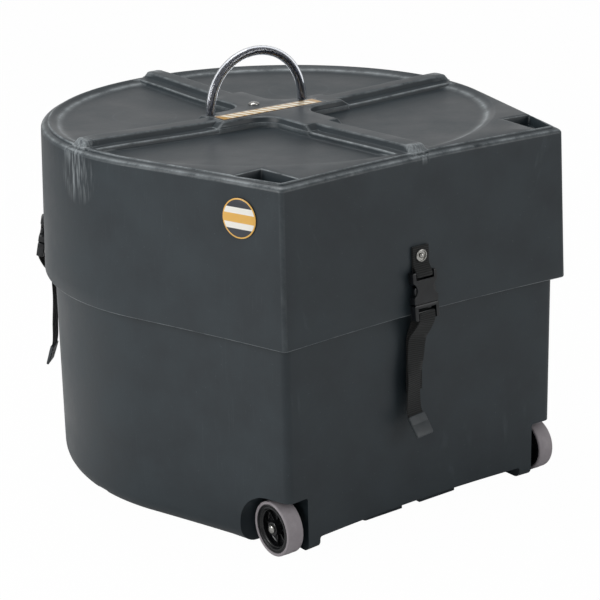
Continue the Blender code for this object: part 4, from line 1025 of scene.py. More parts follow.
    def block_tool(self) -> bpy.types.Object:
        """The filleted centre block, whose ends slope to the ledges."""
        base = self.plan.rim_top
        top = base + self.plan.bar_height
        stages = [(base - self.bar_sink, 0.0, -0.0010), (base, 0.0, -0.0010), (base + 0.0005, 0.0, 0.0),
                  (base + 0.0014, 0.10, 0.0006), (top - 0.0026, 0.74, 0.0012), (top - 0.0012, 0.88, 0.0018),
                  (top - 0.0004, 0.98, 0.0030), (top, 1.12, 0.0046)]
        rings = []
        for z, share, inset in stages:
            half = self.ledge_half - inset
            fillet = self.ledge_corner + inset
            middle = self.ledge_half + self.ledge_corner
            reach_x = self.block_x - self.block_slope * share
            reach_y = self.block_y - self.block_slope * share
            turn = 0.0035
            quadrant = arc(reach_x - turn, half - turn, turn, 0.0, math.pi / 2, 3)
            quadrant += arc(middle, middle, fillet, 1.5 * math.pi, -math.pi / 2, 12)
            quadrant += arc(half - turn, reach_y - turn, turn, 0.0, math.pi / 2, 3)
            ring = list(quadrant)
            ring += [(-x, y) for x, y in reversed(quadrant)]
            ring += [(-x, -y) for x, y in quadrant]
            ring += [(x, -y) for x, y in reversed(quadrant)]
            rings.append([(x, y, z) for x, y in ring])
        return grow("centre_block", rings)[0]

    def pocket_outline(self, grown: float) -> Outline:
        """The right wheel pocket, whose outer edge follows the side of the case, grown all round."""
        corners = [Vector(corner) for corner in self.pocket_corners]
        out = []
        for k, corner in enumerate(corners):
            back = (corners[k - 1] - corner).normalized()
            ahead = (corners[(k + 1) % len(corners)] - corner).normalized()
            share = grown / math.sin(back.angle(ahead))
            out.append(tuple(corner - (back + ahead) * share))
        return out

    def pocket_tools(self, grown: float, low: float, rounded: bool) -> bpy.types.Object:
        """Both wheel pockets as one cutter."""
        tools = []
        top = self.plan.rim_top
        for way in (-1, 1):
            stages = [(low, grown - 0.0012), (low + 0.0006, grown - 0.0003), (low + 0.0020, grown),
                      (top - 0.0016, grown), (top - 0.0005, grown + 0.0005), (top, grown + 0.0016),
                      (top + self.margin, grown + 0.0016)]
            if not rounded:
                stages = [(low, grown), (top + self.margin, grown)]
            rings = []
            for z, reach in stages:
                corners = self.pocket_outline(reach)
                if rounded:
                    corners = round_corners(corners, self.pocket_turn, 5)
                if way < 0:
                    corners = [(-x, y) for x, y in reversed(corners)]
                rings.append([(x, y, z) for x, y in corners])
            tools.append(grow("pocket", rings)[0])
        return gather(tools, "pockets")

    def cavity_tool(self) -> bpy.types.Object:
        """The hollow inside: skirt, underside of the panels and the hollow cross."""
        plan = self.plan
        low = plan.skirt_bottom
        under = plan.rim_top - self.dish_depth - plan.panel_skin
        bend = under - plan.edge_depth / 2
        inner = plan.wall
        rings = [plan.ring(low - self.margin, plan.skirt(low) - inner),
                 plan.ring(low, plan.skirt(low) - inner)]
        for k in range(1, 5):
            z = low + (bend - low) * k / 4
            rings.append(plan.ring(z, plan.skirt(z) - inner))
        rings.append(plan.ring(under - 0.0012, plan.skirt(under) - inner - plan.edge_depth / 4))
        rings.append(plan.ring(under, plan.skirt(under) - inner - plan.edge_depth / 2))
        cavity = grow("cavity", rings)[0]
        reach = plan.radius - 4 * plan.wall
        top = plan.rim_top + plan.bar_height
        for half, far, z in ((self.ledge_half - plan.wall, reach, plan.rim_top - plan.panel_skin),
                             (self.bar_top - 0.0022, reach + plan.wall, top - plan.panel_skin)):
            for tool in (block("hollow", (-far, -half, under - 0.004), (far, half, z)),
                         block("hollow", (-half, -far, under - 0.004), (half, far, z - GAP / 3))):
                work(cavity, tool, "UNION")
        span = self.ledge_half - plan.wall - 0.0012
        far = self.block_x - self.block_slope - plan.wall
        work(cavity, block("hollow", (-far, -span, under - 0.0045),
                           (far, span, top - plan.panel_skin - GAP)), "UNION")
        work(cavity, self.pocket_tools(plan.wall, plan.rim_top - plan.pocket_depth - plan.panel_skin, False))
        return cavity

    def build(self, finishes: Finishes, label: "LidTrim", handle: "Handle",
              holes: Sequence[bpy.types.Object]) -> bpy.types.Object:
        """Model and dress the lid, with the straps' rivet holes in its skirt."""
        plan = self.plan
        lid = self.outside()
        dish = self.dish_tool()
        for k in range(3):
            work(lid, copy_of(dish, "dish", Matrix.Rotation(math.pi / 2 * (k + 1), 4, "Z")))
        work(lid, dish)
        back_end = plan.radius - self.bar_inset
        work(lid, self.bar_tool(back_end, back_end, True), "UNION")
        work(lid, self.bar_tool(plan.face - self.bar_inset, back_end, False), "UNION")
        work(lid, self.block_tool(), "UNION")
        work(lid, self.pocket_tools(0.0, plan.rim_top - plan.pocket_depth, True))
        work(lid, self.cavity_tool())
        top = plan.rim_top + plan.bar_height
        for tool in label.recess_tools(top) + handle.hole_tools(top) + list(holes):
            work(lid, tool)
        tidy_faces(lid)
        self.settle(lid)
        mark_wear(lid, extra=self.rubbed)
        place(lid, plan.frame)
        return finish_piece(lid, Body.LID, finishes.case, ["lid_shell"])

    def rubbed(self, spot: Vector) -> float:
        """Wear of the rim's shoulder and of the ends of the bars, where cases are slid over each other."""
        plan = self.plan
        shoulder = plan.rim_top - plan.edge_depth
        shoulder += (plan.edge_depth - self.shoulder_drop) * math.sin(math.radians(45))
        reach = math.hypot(spot.x, spot.y)
        wear = 0.0
        if reach > self.rub_reach or spot.y < -self.rub_front:
            wear = self.rim_wear * math.exp(-((spot.z - shoulder) / self.rub_width) ** 2)
        on_bar = min(abs(spot.x), abs(spot.y)) < self.bar_rub and spot.z > plan.rim_top
        if reach > plan.radius - self.bar_rub and on_bar:
            wear = max(wear, self.bar_wear)
        return wear

    def settle(self, lid: bpy.types.Object) -> None:
        """Cut the broad top faces on a grid and let the top sag."""
        plan = self.plan
        select_only(lid)
        bpy.ops.object.mode_set(mode="EDIT")
        steps = int(plan.radius / self.grid) + 1
        floor = plan.rim_top - self.sag_depth
        for axis in (0, 1):
            for k in range(-steps, steps + 1):
                form = bmesh.from_edit_mesh(lid.data)
                for face in form.faces:
                    face.select = face.calc_center_median().z > floor
                bmesh.update_edit_mesh(lid.data)
                centre = [0.0, 0.0, 0.0]
                normal = [0.0, 0.0, 0.0]
                centre[axis] = k * self.grid + self.grid_start
                normal[axis] = 1.0
                bpy.ops.mesh.bisect(plane_co=centre, plane_no=normal)
        form = bmesh.from_edit_mesh(lid.data)
        for vert in form.verts:
            if vert.co.z > floor:
                share = min(1.0, (vert.co.z - floor) / self.sag_fade)
                vert.co.z -= plan.droop(vert.co.x, vert.co.y) * share
        bmesh.update_edit_mesh(lid.data)
        bpy.ops.object.mode_set(mode="OBJECT")


def round_corners(corners: Sequence[tuple[float, float]], radius: float, steps: int) -> Outline:
    """Round each corner of a convex outline.

    Args:
        corners: The outline's corners in order.
        radius: The rounding.
        steps: Pieces of each arc.

    Returns:
        The rounded outline.
    """
    points = []
    for k, corner in enumerate(corners):
        here = Vector(corner)
        back = (Vector(corners[k - 1]) - here).normalized()
        ahead = (Vector(corners[(k + 1) % len(corners)]) - here).normalized()
        half = back.angle(ahead) / 2
        run = radius / math.tan(half)
        centre = here + (back + ahead).normalized() * (radius / math.sin(half))
        start = here + back * run - centre
        turn = (math.pi - 2 * half) * (1 if back.cross(ahead) < 0 else -1)
        for i in range(steps + 1):
            a = turn * i / steps
            points.append((centre.x + start.x * math.cos(a) - start.y * math.sin(a),
                           centre.y + start.x * math.sin(a) + start.y * math.cos(a)))
    return points


# Base

@dataclass
class BaseShell:
    """The moulded tub: rounded lower edge, cut back front edge, stacking grooves and wheel wells."""

    plan: CasePlan
    inset: float = 0.0035
    top_inset: float = 0.0055
    corner: float = 0.0115
    round_back: float = 0.026
    round_front: float = 0.010
    groove_half: float = 0.0145
    groove_depth: float = 0.011
    front_lift: float = 0.0150
    cut_depth: float = 0.045
    foot_setback: float = 0.022
    foot_half: float = 0.0755
    foot_start: float = 0.165
    well_side: float = 0.184
    well_back: float = 0.2377
    well_top: float = 0.0761
    well_arch: float = 0.041
    margin: float = 0.006

    @property
    def top(self) -> float:
        """Height of the tub's upper edge, just under the lid's pockets."""
        return self.plan.rim_top - self.plan.pocket_depth - self.plan.panel_skin - GAP

    def front_tool(self, grown: float) -> bpy.types.Object:
        """What is cut away under the front edge, with rounded corners."""
        plan = self.plan
        face = -plan.corner_face - self.margin
        deep = -plan.face + self.cut_depth + grown
        shallow = -plan.face + self.foot_setback + grown
        outer = self.foot_start + grown
        inner = self.foot_half - grown
        points = [(-outer, face), (outer, face), (outer, deep), (inner, deep), (inner, shallow),
                  (-inner, shallow), (-inner, deep), (-outer, deep)]
        rings = [[(x, y, z) for x, y in points] for z in (-self.margin, plan.foot + self.front_lift + grown)]
        tool = grow("front_cut", rings)[0]
        if grown == 0.0:
            soften(tool, 0.0030, 3, 60)
        return tool

    def groove_tools(self, half: float, top: float, low: float) -> list[bpy.types.Object]:
        """The cross groove that drops over the bars of a lid below."""
        reach = self.plan.radius + self.margin
        tools = [block("groove", (-reach, -half, low), (reach, half, top)),
                 block("groove", (-half, -reach, low), (half, reach, top - GAP / 3))]
        if half == self.groove_half:
            for tool in tools:
                soften(tool, 0.0022, 3)
        return tools

    def well_tool(self, grown: float, side: Side) -> bpy.types.Object:
        """One wheel well: open below, in front and at the side, arched at the back."""
        back = -self.well_back + grown
        top = self.well_top + grown
        arch = self.well_arch + grown
        front = -self.plan.corner_face - self.margin
        profile = [(front, -self.margin), (back, -self.margin)]
        profile += arc(back - arch, top - arch, arch, 0.0, math.pi / 2, 12)
        profile.append((front, top))
        rings = [[(side.value * x, y, z) for y, z in profile]
                 for x in (self.well_side - grown, self.plan.radius)]
        tool = grow("well", rings)[0]
        if grown == 0.0:
            soften(tool, 0.0030, 3, 60)
        return tool

    def build(self, finishes: Finishes, holes: Sequence[bpy.types.Object]) -> bpy.types.Object:
        """Model and dress the base."""
        plan = self.plan
        rings = plan.rounded_bottom(plan.foot, -self.inset, self.corner, self.round_front, self.round_back, 8)
        low = plan.foot + self.round_back
        for k in range(1, 9):
            z = low + (plan.skirt_bottom - low) * k / 8
            rings.append(plan.ring(z, -self.inset, corner=self.corner))
        for z, offset in ((self.top - 0.0012, -self.top_inset), (self.top, -self.top_inset - 0.0010)):
            rings.append(plan.ring(z, offset, corner=self.corner - self.top_inset + self.inset))
        base = grow("base_shell_dressed", rings)[0]
        work(base, self.front_tool(0.0))
        for tool in self.groove_tools(self.groove_half, plan.foot + self.groove_depth, -self.margin):
            work(base, tool)
        for side in Side:
            work(base, self.well_tool(0.0, side))
        wall = plan.wall
        corner = self.corner - wall
        inner = plan.rounded_bottom(plan.foot + wall, -self.inset - wall, corner, self.round_front - wall,
                                    self.round_back - wall, 5)
        inner.append(plan.ring(plan.skirt_bottom, -self.inset - wall, corner=corner))
        for z in (self.top, self.top + self.margin):
            inner.append(plan.ring(z, -self.top_inset - wall, corner=corner))
        cavity = grow("cavity", inner)[0]
        work(cavity, self.front_tool(wall))
        for tool in self.groove_tools(self.groove_half + wall, plan.foot + self.groove_depth + wall,
                                      -2 * self.margin):
            work(cavity, tool)
        for side in Side:
            work(cavity, self.well_tool(wall, side))
        work(base, cavity)
        for hole in holes:
            work(base, hole)
        tidy_faces(base)
        mark_wear(base)
        place(base, plan.frame)
        return finish_piece(base, Body.BASE, finishes.case, ["base_shell"])


# Wheels

@dataclass
class Wheel:
    """A grey rubber tyre on a stepped black hub, held by a domed bolt."""

    side: Side
    plan: CasePlan
    radius: float = 0.0348
    width: float = 0.0235
    outer_x: float = 0.2185
    setback: float = 0.024
    tyre: float = 0.0040
    inset: float = 0.0010
    bore: float = 0.0045
    hole: float = 0.0044
    shaft: float = 0.0040
    spacer: float = 0.0065
    nut_skin: float = 0.0015
    boss: float = 0.0088
    boss_drop: float = 0.0004
    bolt_head: float = 0.0055
    bolt_rise: float = 0.0036
    dish_depth: float = 0.0110
    well_side: float = 0.184
    steps: int = 96

    @property
    def seat(self) -> Matrix:
        """From a frame whose Z runs outwards along the axle to the CAD's frame."""
        return (Matrix.Translation((0, self.setback - self.plan.face + self.plan.shift, self.radius))
                @ Matrix.Rotation(self.side.value * math.pi / 2, 4, "Y"))

    @property
    def body(self) -> Body:
        """The body that turns."""
        return Body.LEFT_WHEEL if self.side is Side.LEFT else Body.RIGHT_WHEEL

    def axle_hole(self) -> bpy.types.Object:
        """The hole through the well's side wall, in the shells' frame."""
        hole = rod("axle_hole", self.hole, self.well_side - 0.012, self.well_side + 0.006, 24)
        return place(hole, Matrix.Translation((0, -self.plan.shift, 0)) @ self.seat)

    def build(self, finishes: Finishes) -> None:
        """Model and dress the wheel and its bolt."""
        name = self.side.word + "_wheel_"
        outer = self.outer_x
        inner = outer - self.width
        tread = self.radius
        seat = tread - self.tyre
        edge = 0.0020
        profile = [(seat, inner + self.inset), (seat + 0.0006, inner + 0.0004)]
        profile += arc(tread - edge, inner + edge, edge, -math.pi / 2, math.pi / 2, 5)
        middle = (inner + outer) / 2
        profile += [(tread, middle - 0.006), (tread + 0.0002, middle), (tread, middle + 0.006)]
        profile += arc(tread - edge, outer - edge, edge, 0.0, math.pi / 2, 5)
        profile += [(seat + 0.0006, outer - 0.0004), (seat, outer - self.inset)]
        tyre = place(turned(name + "tyre_dressed", profile, self.steps), self.seat)
        finish_piece(tyre, self.body, finishes.tyre, [name + "tyre"])

        rim = seat - GAP
        face = outer - self.inset
        back = inner + self.inset
        ring = rim - 0.0052
        floor = face - self.dish_depth
        dish = 0.0225
        hub_profile = [(rim, back), (rim, face - 0.0004), (rim - 0.0004, face), (rim - 0.0014, face),
                       (rim - 0.0017, face - 0.0005), (rim - 0.0022, face - 0.0005), (rim - 0.0025, face),
                       (ring + 0.0004, face), (ring, face - 0.0004), (ring - 0.0008, face - 0.0024),
                       (ring - 0.0012, face - 0.0028), (dish + 0.0010, face - 0.0030),
                       (dish + 0.0006, face - 0.0036), (dish, floor + 0.0008), (dish - 0.0008, floor),
                       (0.0185, floor), (0.0182, floor + 0.0004), (0.0176, floor + 0.0004), (0.0173, floor),
                       (0.0140, floor), (0.0137, floor + 0.0004), (0.0131, floor + 0.0004), (0.0128, floor),
                       (self.boss + 0.0014, floor), (self.boss + 0.0008, floor + 0.0006),
                       (self.boss, face - self.boss_drop - 0.0005),
                       (self.boss - 0.0005, face - self.boss_drop), (self.bore, face - self.boss_drop),
                       (self.bore, back), (self.boss, back), (self.boss + 0.0010, back + 0.0054),
                       (dish, back + 0.0054), (rim - 0.0035, back)]
        hub = turned(name + "hub_dressed", hub_profile, self.steps)
        rib = block("rib", (self.boss - 0.0005, -0.0007, floor - 0.0010),
                    (dish + 0.0004, 0.0007, floor + 0.0030))
        ribs = [copy_of(rib, "rib", Matrix.Rotation(2 * math.pi * k / 8, 4, "Z")) for k in range(1, 8)]
        for each in [rib] + ribs:
            work(hub, each, "UNION")
        place(hub, self.seat)
        finish_piece(hub, self.body, finishes.hub, [name + "hub"], 28.0)

        seat_z = face - self.boss_drop + GAP
        end = self.well_side - self.plan.wall - self.spacer - 2 * GAP - self.nut_skin
        bolt = turned(name + "bolt_dressed", dome_profile(self.bolt_head, seat_z, self.bolt_rise) + [
            (self.bolt_head, seat_z), (self.shaft, seat_z), (self.shaft, end), (0, end)], 40)
        place(bolt, self.seat)
        finish_piece(bolt, Body.BASE, finishes.steel, [name + "bolt"])


# Handle

@dataclass
class Handle:
    """A dark braided rope in a clear tube, bent to a half ellipse over the lid's middle."""

    plan: CasePlan
    half_span: float = 0.074
    x: float = -0.0115
    y: float = 0.0192
    rise: float = 0.074
    fullness: float = 0.93
    tube: float = 0.00625
    rope: float = 0.0038
    socket: float = 0.003
    stop_length: float = 0.010
    rope_end: float = 0.003
    stations: int = 56
    sides: int = 24
    rope_sides: int = 20

    def path(self, low: float) -> list[Vector]:
        """Up one leg, over and down the other, as points."""
        top = self.plan.block_top
        points = [Vector((self.half_span, 0, low))]
        for k in range(self.stations + 1):
            a = math.pi * k / self.stations
            points.append(Vector((self.half_span * math.cos(a), 0,
                                  top + self.rise * math.sin(a) ** self.fullness)))
        points.append(Vector((-self.half_span, 0, low)))
        return points

    def rings(self, path: Sequence[Vector], radius: float, sides: int) -> list[Ring]:
        """Circles across the path."""
        rings = []
        last = len(path) - 1
        for k, point in enumerate(path):
            if k < 2 or k > last - 2:
                tangent = Vector((0, 0, 1 if k < 2 else -1))
            else:
                tangent = (path[k + 1] - path[k - 1]).normalized()
            normal = Vector((0, 1, 0)).cross(tangent)
            ring = []
            for i in range(sides):
                a = 2 * math.pi * i / sides
                ring.append(tuple(point + radius * (math.cos(a) * normal + math.sin(a) * Vector((0, 1, 0)))))
            rings.append(ring)
        return rings

    def hole_tools(self, top: float) -> list[bpy.types.Object]:
        """The two seats of the tube and holes of the rope in the lid, before its sag."""
        tools = []
        bore = self.rope + 0.0005
        seat = self.tube + GAP
        floor = top - self.socket
        for side in Side:
            tool = turned("handle_hole", [(0, top - 0.009), (bore, top - 0.009), (bore, floor),
                                          (seat, floor), (seat, top - 0.0008),
                                          (seat + 0.0008, top + 0.0001), (seat + 0.0008, top + 0.006),
                                          (0, top + 0.006)], 32)
            tools.append(place(tool, Matrix.Translation((self.x + side.value * self.half_span, self.y, 0))))
        return tools

    def build(self, finishes: Finishes) -> None:
        """Model and dress the tube and the rope."""
        seat = Matrix.Translation((self.x, self.y, 0))
        low = self.plan.block_top - self.socket + GAP
        path = self.path(low)
        outer = self.rings(path, self.tube, self.sides)
        inner = self.rings(path, self.rope + GAP, self.sides)
        tube, _ = grow("handle_tube_dressed", outer + list(reversed(inner)), caps=False, joined=True)
        place(tube, self.plan.frame @ seat)
        finish_piece(tube, Body.LID, finishes.tube, ["handle_sleeve"], 60.0)

        stop_top = self.plan.block_top - self.plan.panel_skin - GAP
        path = self.path(stop_top - self.stop_length - self.rope_end)
        rope, rows = grow("handle_rope_dressed", self.rings(path, self.rope, self.rope_sides))
        along = [0.0]
        for a, b in zip(path, path[1:]):
            along.append(along[-1] + (b - a).length)
        around = [2 * math.pi * self.rope * i / self.rope_sides for i in range(self.rope_sides)]
        wrap_cloth(rope, rows, around, along)
        place(rope, self.plan.frame @ seat)
        finish_piece(rope, Body.LID, finishes.rope, ["handle_rope"], 60.0)


# Label strip, badge and centre screw

@dataclass
class LidTrim:
    """The bare gold strip, the round sticker and the domed screw on the lid."""

    plan: CasePlan
    length: float = 0.164
    width: float = 0.031
    thick: float = 0.0009
    x: float = -0.0097
    y: float = -0.0052
    gap: float = 0.0005
    badge_radius: float = 0.024
    badge_thick: float = 0.0007
    badge_along: float = 0.0573
    badge_height: float = 0.4266
    screw_x: float = -0.0090
    screw_y: float = 0.0300
    screw_head: float = 0.0072
    screw_rise: float = 0.0034
    screw_shaft: float = 0.0025
    screw_end: float = 0.0065

    def recess_tools(self, top: float) -> list[bpy.types.Object]:
        """The strip's recess and the screw's hole, before the lid's sag."""
        recess = block("recess", (self.x - self.length / 2 - self.gap, self.y - self.width / 2 - self.gap,
                                  top - self.thick - GAP),
                       (self.x + self.length / 2 + self.gap, self.y + self.width / 2 + self.gap, top + 0.006))
        bore = self.screw_shaft + 0.0005
        hole = rod("screw_hole", bore, top - 0.009, top + 0.006, 24)
        place(hole, Matrix.Translation((self.screw_x, self.screw_y, 0)))
        return [recess, hole]

    def build(self, finishes: Finishes) -> None:
        """Model and dress the three pieces."""
        top = self.plan.block_top
        strip = block("label_strip_dressed", (self.x - self.length / 2, self.y - self.width / 2,
                                              top - self.thick),
                      (self.x + self.length / 2, self.y + self.width / 2, top))
        soften(strip, 0.0002, 2)
        place(strip, self.plan.frame)
        finish_piece(strip, Body.LID, finishes.strip, ["label_strip"])

        self.build_badge(finishes)

        seat = top + GAP
        dome = dome_profile(self.screw_head, seat, self.screw_rise)
        tip = top - self.plan.panel_skin - self.screw_end
        shank = [(self.screw_head, seat), (self.screw_shaft, seat), (self.screw_shaft, tip), (0, tip)]
        screw = turned("centre_screw_dressed", dome + shank, 40)
        place(screw, self.plan.frame @ Matrix.Translation((self.screw_x, self.screw_y, 0)))
        finish_piece(screw, Body.LID, finishes.steel, ["centre_screw"])

    def build_badge(self, finishes: Finishes) -> None:
        """The round sticker, laid on the left wall of the lid."""
        plan = self.plan
        turn = plan.turn
        normal = Vector((-math.cos(turn), math.sin(turn), 0))
        along = Vector((normal.y, -normal.x, 0))
        spot = (Vector((-plan.corner_half, -plan.corner_face, 0)) + along * self.badge_along
                + normal * plan.skirt(self.badge_height))
        matrix = (Matrix.Translation((spot.x, spot.y + plan.shift, self.badge_height))
                  @ Matrix.Rotation(math.atan2(normal.y, normal.x), 4, "Z")
                  @ Matrix.Rotation(math.pi / 2 - plan.skirt_lean, 4, "Y"))
        rings = []
        steps = 64
        rise = self.badge_thick
        radii = [(self.badge_radius, GAP), (self.badge_radius, rise * 0.8 + GAP),
                 (self.badge_radius - 0.0003, rise + GAP), (self.badge_radius * 0.6, rise + GAP),
                 (self.badge_radius * 0.2, rise + GAP)]
        for radius, z in radii:
            rings.append([(radius * math.cos(2 * math.pi * k / steps),
                           radius * math.sin(2 * math.pi * k / steps), z) for k in range(steps)])
        badge, _ = grow("size_badge_dressed", rings)
        layer = badge.data.uv_layers.new(name="weave")
        for loop in badge.data.loops:
            co = badge.data.vertices[loop.vertex_index].co
            layer.data[loop.index].uv = (-co.y, -co.x)
        place(badge, matrix)
        finish_piece(badge, Body.LID, finishes.badge, ["size_badge"])


# Straps

def smooth_path(points: Sequence[Sequence[float]], spacing: float) -> list[list[float]]:
    """Run a smooth curve through stations of any number of values; the first three are a place.

    Args:
        points: Stations in order.
        spacing: About how far apart the new stations are.

    Returns:
        The finer stations.
    """
    out = []
    last = len(points) - 1
    for k in range(last):
        p0, p1, p2, p3 = (points[max(k - 1, 0)], points[k], points[k + 1], points[min(k + 2, last)])
        run = (Vector(p2[:3]) - Vector(p1[:3])).length
        before = max((Vector(p1[:3]) - Vector(p0[:3])).length, 1e-6)
        after = max((Vector(p3[:3]) - Vector(p2[:3])).length, 1e-6)
        count = max(1, round(run / spacing))
        for i in range(count):
            t = i / count
            value = []
            for a, b, c, d in zip(p0, p1, p2, p3):
                m1 = ((b - a) / before * run + (c - b)) / 2 if k else c - b
                m2 = ((d - c) / after * run + (c - b)) / 2 if k < last - 1 else c - b
                value.append((2 * t ** 3 - 3 * t ** 2 + 1) * b + (t ** 3 - 2 * t ** 2 + t) * m1
                             + (-2 * t ** 3 + 3 * t ** 2) * c + (t ** 3 - t ** 2) * m2)
            out.append(value)
    out.append(list(points[last]))
    return out


def wrap_points(y: float, z: float, radius: float, start: float, end: float,
                steps: int = 12) -> list[list[float]]:
    """Stations round a bar, by angle in degrees in the plane of Y and Z."""
    turns = [math.radians(start + (end - start) * k / steps) for k in range(steps + 1)]
    return [[0.0, y + radius * math.cos(a), z + radius * math.sin(a), 0.0] for a in turns]


def leaving_angle(y: float, z: float, radius: float, target: Sequence[float], side: int) -> float:
    """The angle in degrees where a band round a bar leaves it, straight for the target."""
    run = Vector((target[0] - y, target[1] - z))
    return math.degrees(math.atan2(run.y, run.x) + side * math.acos(radius / run.length))


@dataclass
class Strap:
    """One strap set: riveted webbing loops, the side release buckle, the tail and its tip."""

    name: str
    angle: float
    along: float
    plan: CasePlan
    tail: tuple[tuple[float, float, float, float], ...] = ()
    tip_lean: float = 24.0
    tip_roll: float = 0.0
    web_width: float = 0.0252
    web_thick: float = 0.0016
    lid_rivet: float = 0.349
    lid_web_top: float = 0.3605
    base_rivet: float = 0.186
    web_bottom: float = 0.170
    web_bend: float = 0.244
    base_inset: float = 0.0035
    bar_z: float = 0.324
    bar_out: float = 0.0060
    lean: float = 11.0
    half: float = 0.019
    thick: float = 0.0096
    socket_high: float = 0.0036
    parting: float = -0.0362
    plug_low: float = -0.0562
    ladder: float = -0.0474
    scallop: float = 0.0180
    slot_half: float = 0.0140
    slot_height: float = 0.0097
    loop_radius: float = 0.0024
    ladder_radius: float = 0.0021
    bar_hold: float = 0.0015
    keeper: float = 0.0018
    tip_width: float = 0.0285
    tip_thick: float = 0.0046
    tip_pocket: float = 0.0105
    tip_seat: float = 0.0020
    last_run: float = 0.013

    @property
    def matrix(self) -> Matrix:
        """From the strap's frame to the CAD's."""
        return self.plan.strap_matrix(self.angle, self.along)

    @property
    def bar_y(self) -> float:
        """How far the loop bar stands out from the outline."""
        return self.plan.skirt(self.bar_z) + self.bar_out

    @property
    def buckle_matrix(self) -> Matrix:
        """From the buckle's frame, which leans, to the CAD's."""
        return (self.matrix @ Matrix.Translation((0, self.bar_y, self.bar_z))
                @ Matrix.Rotation(math.radians(self.lean), 4, "X"))

    def buckle_point(self, across: float, up: float) -> tuple[float, float]:
        """A point of the leaning buckle in the strap's Y and Z."""
        lean = math.radians(self.lean)
        return (self.bar_y + across * math.cos(lean) - up * math.sin(lean),
                self.bar_z + across * math.sin(lean) + up * math.cos(lean))

    def skirt(self, z: float) -> float:
        """The lid's wall at the strap."""
        return self.plan.skirt(z)

    def rivet_hole(self, z: float, offset: float, lean: float) -> bpy.types.Object:
        """A rivet hole in a shell, in the shells' frame."""
        hole = rod("rivet_hole", 0.0025, -0.0102, 0.006, 20)
        move = self.matrix @ self.wall_axis(z, offset, lean)
        return place(hole, Matrix.Translation((0, -self.plan.shift, 0)) @ move)

    @staticmethod
    def wall_axis(z: float, offset: float, lean: float) -> Matrix:
        """A frame on a wall: Z along the outward normal, which leans up by lean."""
        return Matrix.Translation((0, offset, z)) @ Matrix.Rotation(lean - math.pi / 2, 4, "X")

    def band(self, name: str, stations: Sequence[Sequence[float]]) -> Band:
        """Webbing along stations of (x, y, z, twist in degrees), with a rounded edge and a UV map.

        Args:
            name: The piece's name.
            stations: Middle of the band's thickness, and its twist about its own run.

        Returns:
            The band, its points and its width directions.
        """
        fine = smooth_path(stations, 0.0022)
        points = [Vector(s[:3]) for s in fine]
        half = self.web_width / 2
        thin = self.web_thick / 2
        section = [(-half, -thin * 0.4), (-half + 0.0004, -thin), (-half * 0.5, -thin), (0, -thin),
                   (half * 0.5, -thin), (half - 0.0004, -thin), (half, -thin * 0.4), (half, thin * 0.4),
                   (half - 0.0004, thin), (half * 0.5, thin), (0, thin), (-half * 0.5, thin),
                   (-half + 0.0004, thin), (-half, thin * 0.4)]
        rings = []
        widths = []
        along = [0.0]
        for k, point in enumerate(points):
            ahead = points[min(k + 1, len(points) - 1)]
            behind = points[max(k - 1, 0)]
            tangent = (ahead - behind).normalized()
            flat = (Vector((1, 0, 0)) - tangent * tangent.x).normalized()
            across = Matrix.Rotation(math.radians(fine[k][3]), 3, tangent) @ flat
            normal = across.cross(tangent)
            widths.append(across)
            rings.append([tuple(point + across * u + normal * v) for u, v in section])
            if k:
                along.append(along[-1] + (point - points[k - 1]).length)
        item, rows = grow(name, rings)
        wrap_cloth(item, rows, [u for u, _ in section], along)
        return item, points, widths

    def lid_web_path(self) -> list[list[float]]:
        """Down from the rivet, round the loop bar and up again."""
        radius = self.loop_radius + GAP + self.web_thick / 2
        inner = GAP + self.web_thick / 2
        outer = inner + self.web_thick + GAP
        bend = self.lid_rivet - 0.0082 - self.web_thick
        back = [(self.skirt(z) + inner, z) for z in (self.lid_web_top, (self.lid_web_top + bend) / 2, bend)]
        front = [(self.skirt(z) + outer, z) for z in (bend, (self.lid_web_top + bend) / 2, self.lid_web_top)]
        start = leaving_angle(self.bar_y, self.bar_z, radius, back[-1], 1)
        end = leaving_angle(self.bar_y, self.bar_z, radius, front[0], -1)
        path = [[0.0, y, z, 0.0] for y, z in back]
        path += wrap_points(self.bar_y, self.bar_z, radius, start, end + 360)
        path += [[0.0, y, z, 0.0] for y, z in front]
        return path

    def base_web_path(self) -> list[list[float]]:
        """Up the base's wall, out past the skirt, over the ladder bar and down as the tail."""
        radius = self.ladder_radius + GAP + self.web_thick / 2
        inner = -self.base_inset + GAP + self.web_thick / 2
        bar = self.buckle_point(0.0, self.ladder)
        top = self.web_bend
        path = [(inner, self.web_bottom), (inner, (self.web_bottom + top) / 2), (inner, top - 0.006),
                (inner + 0.0008, top)]
        start = leaving_angle(*bar, radius, path[-1], -1)
        stations = [[0.0, y, z, 0.0] for y, z in path]
        stations += wrap_points(*bar, radius, start, self.lean)
        y, z = self.buckle_point(self.keeper / 2 + GAP + self.web_thick, self.plug_low - self.web_thick / 2)
        stations.append([0.0, y, z, 0.0])
        stations += [list(s) for s in self.tail]
        x, y, z, twist = self.tail[-1]
        lean = math.radians(self.tip_lean)
        stations.append([x + self.last_run * math.sin(math.radians(self.tip_roll)),
                         y + self.last_run * math.sin(lean), z - self.last_run * math.cos(lean), twist])
        return stations

    def build_webbing(self, finishes: Finishes) -> None:
        """Both bands of the strap and the tip on the tail."""
        lid_web, _, _ = self.band(self.name + "_lid_webbing_dressed", self.lid_web_path())
        place(lid_web, self.matrix)
        finish_piece(lid_web, Body.LID, finishes.webbing, [self.name + "_lid_webbing"], 50.0)
        base_web, points, widths = self.band(self.name + "_base_webbing_dressed", self.base_web_path())
        place(base_web, self.matrix)
        finish_piece(base_web, Body.BASE, finishes.webbing, [self.name + "_base_webbing"], 50.0)
        self.build_tip(finishes, points[-1], (points[-1] - points[-4]).normalized(), widths[-1])

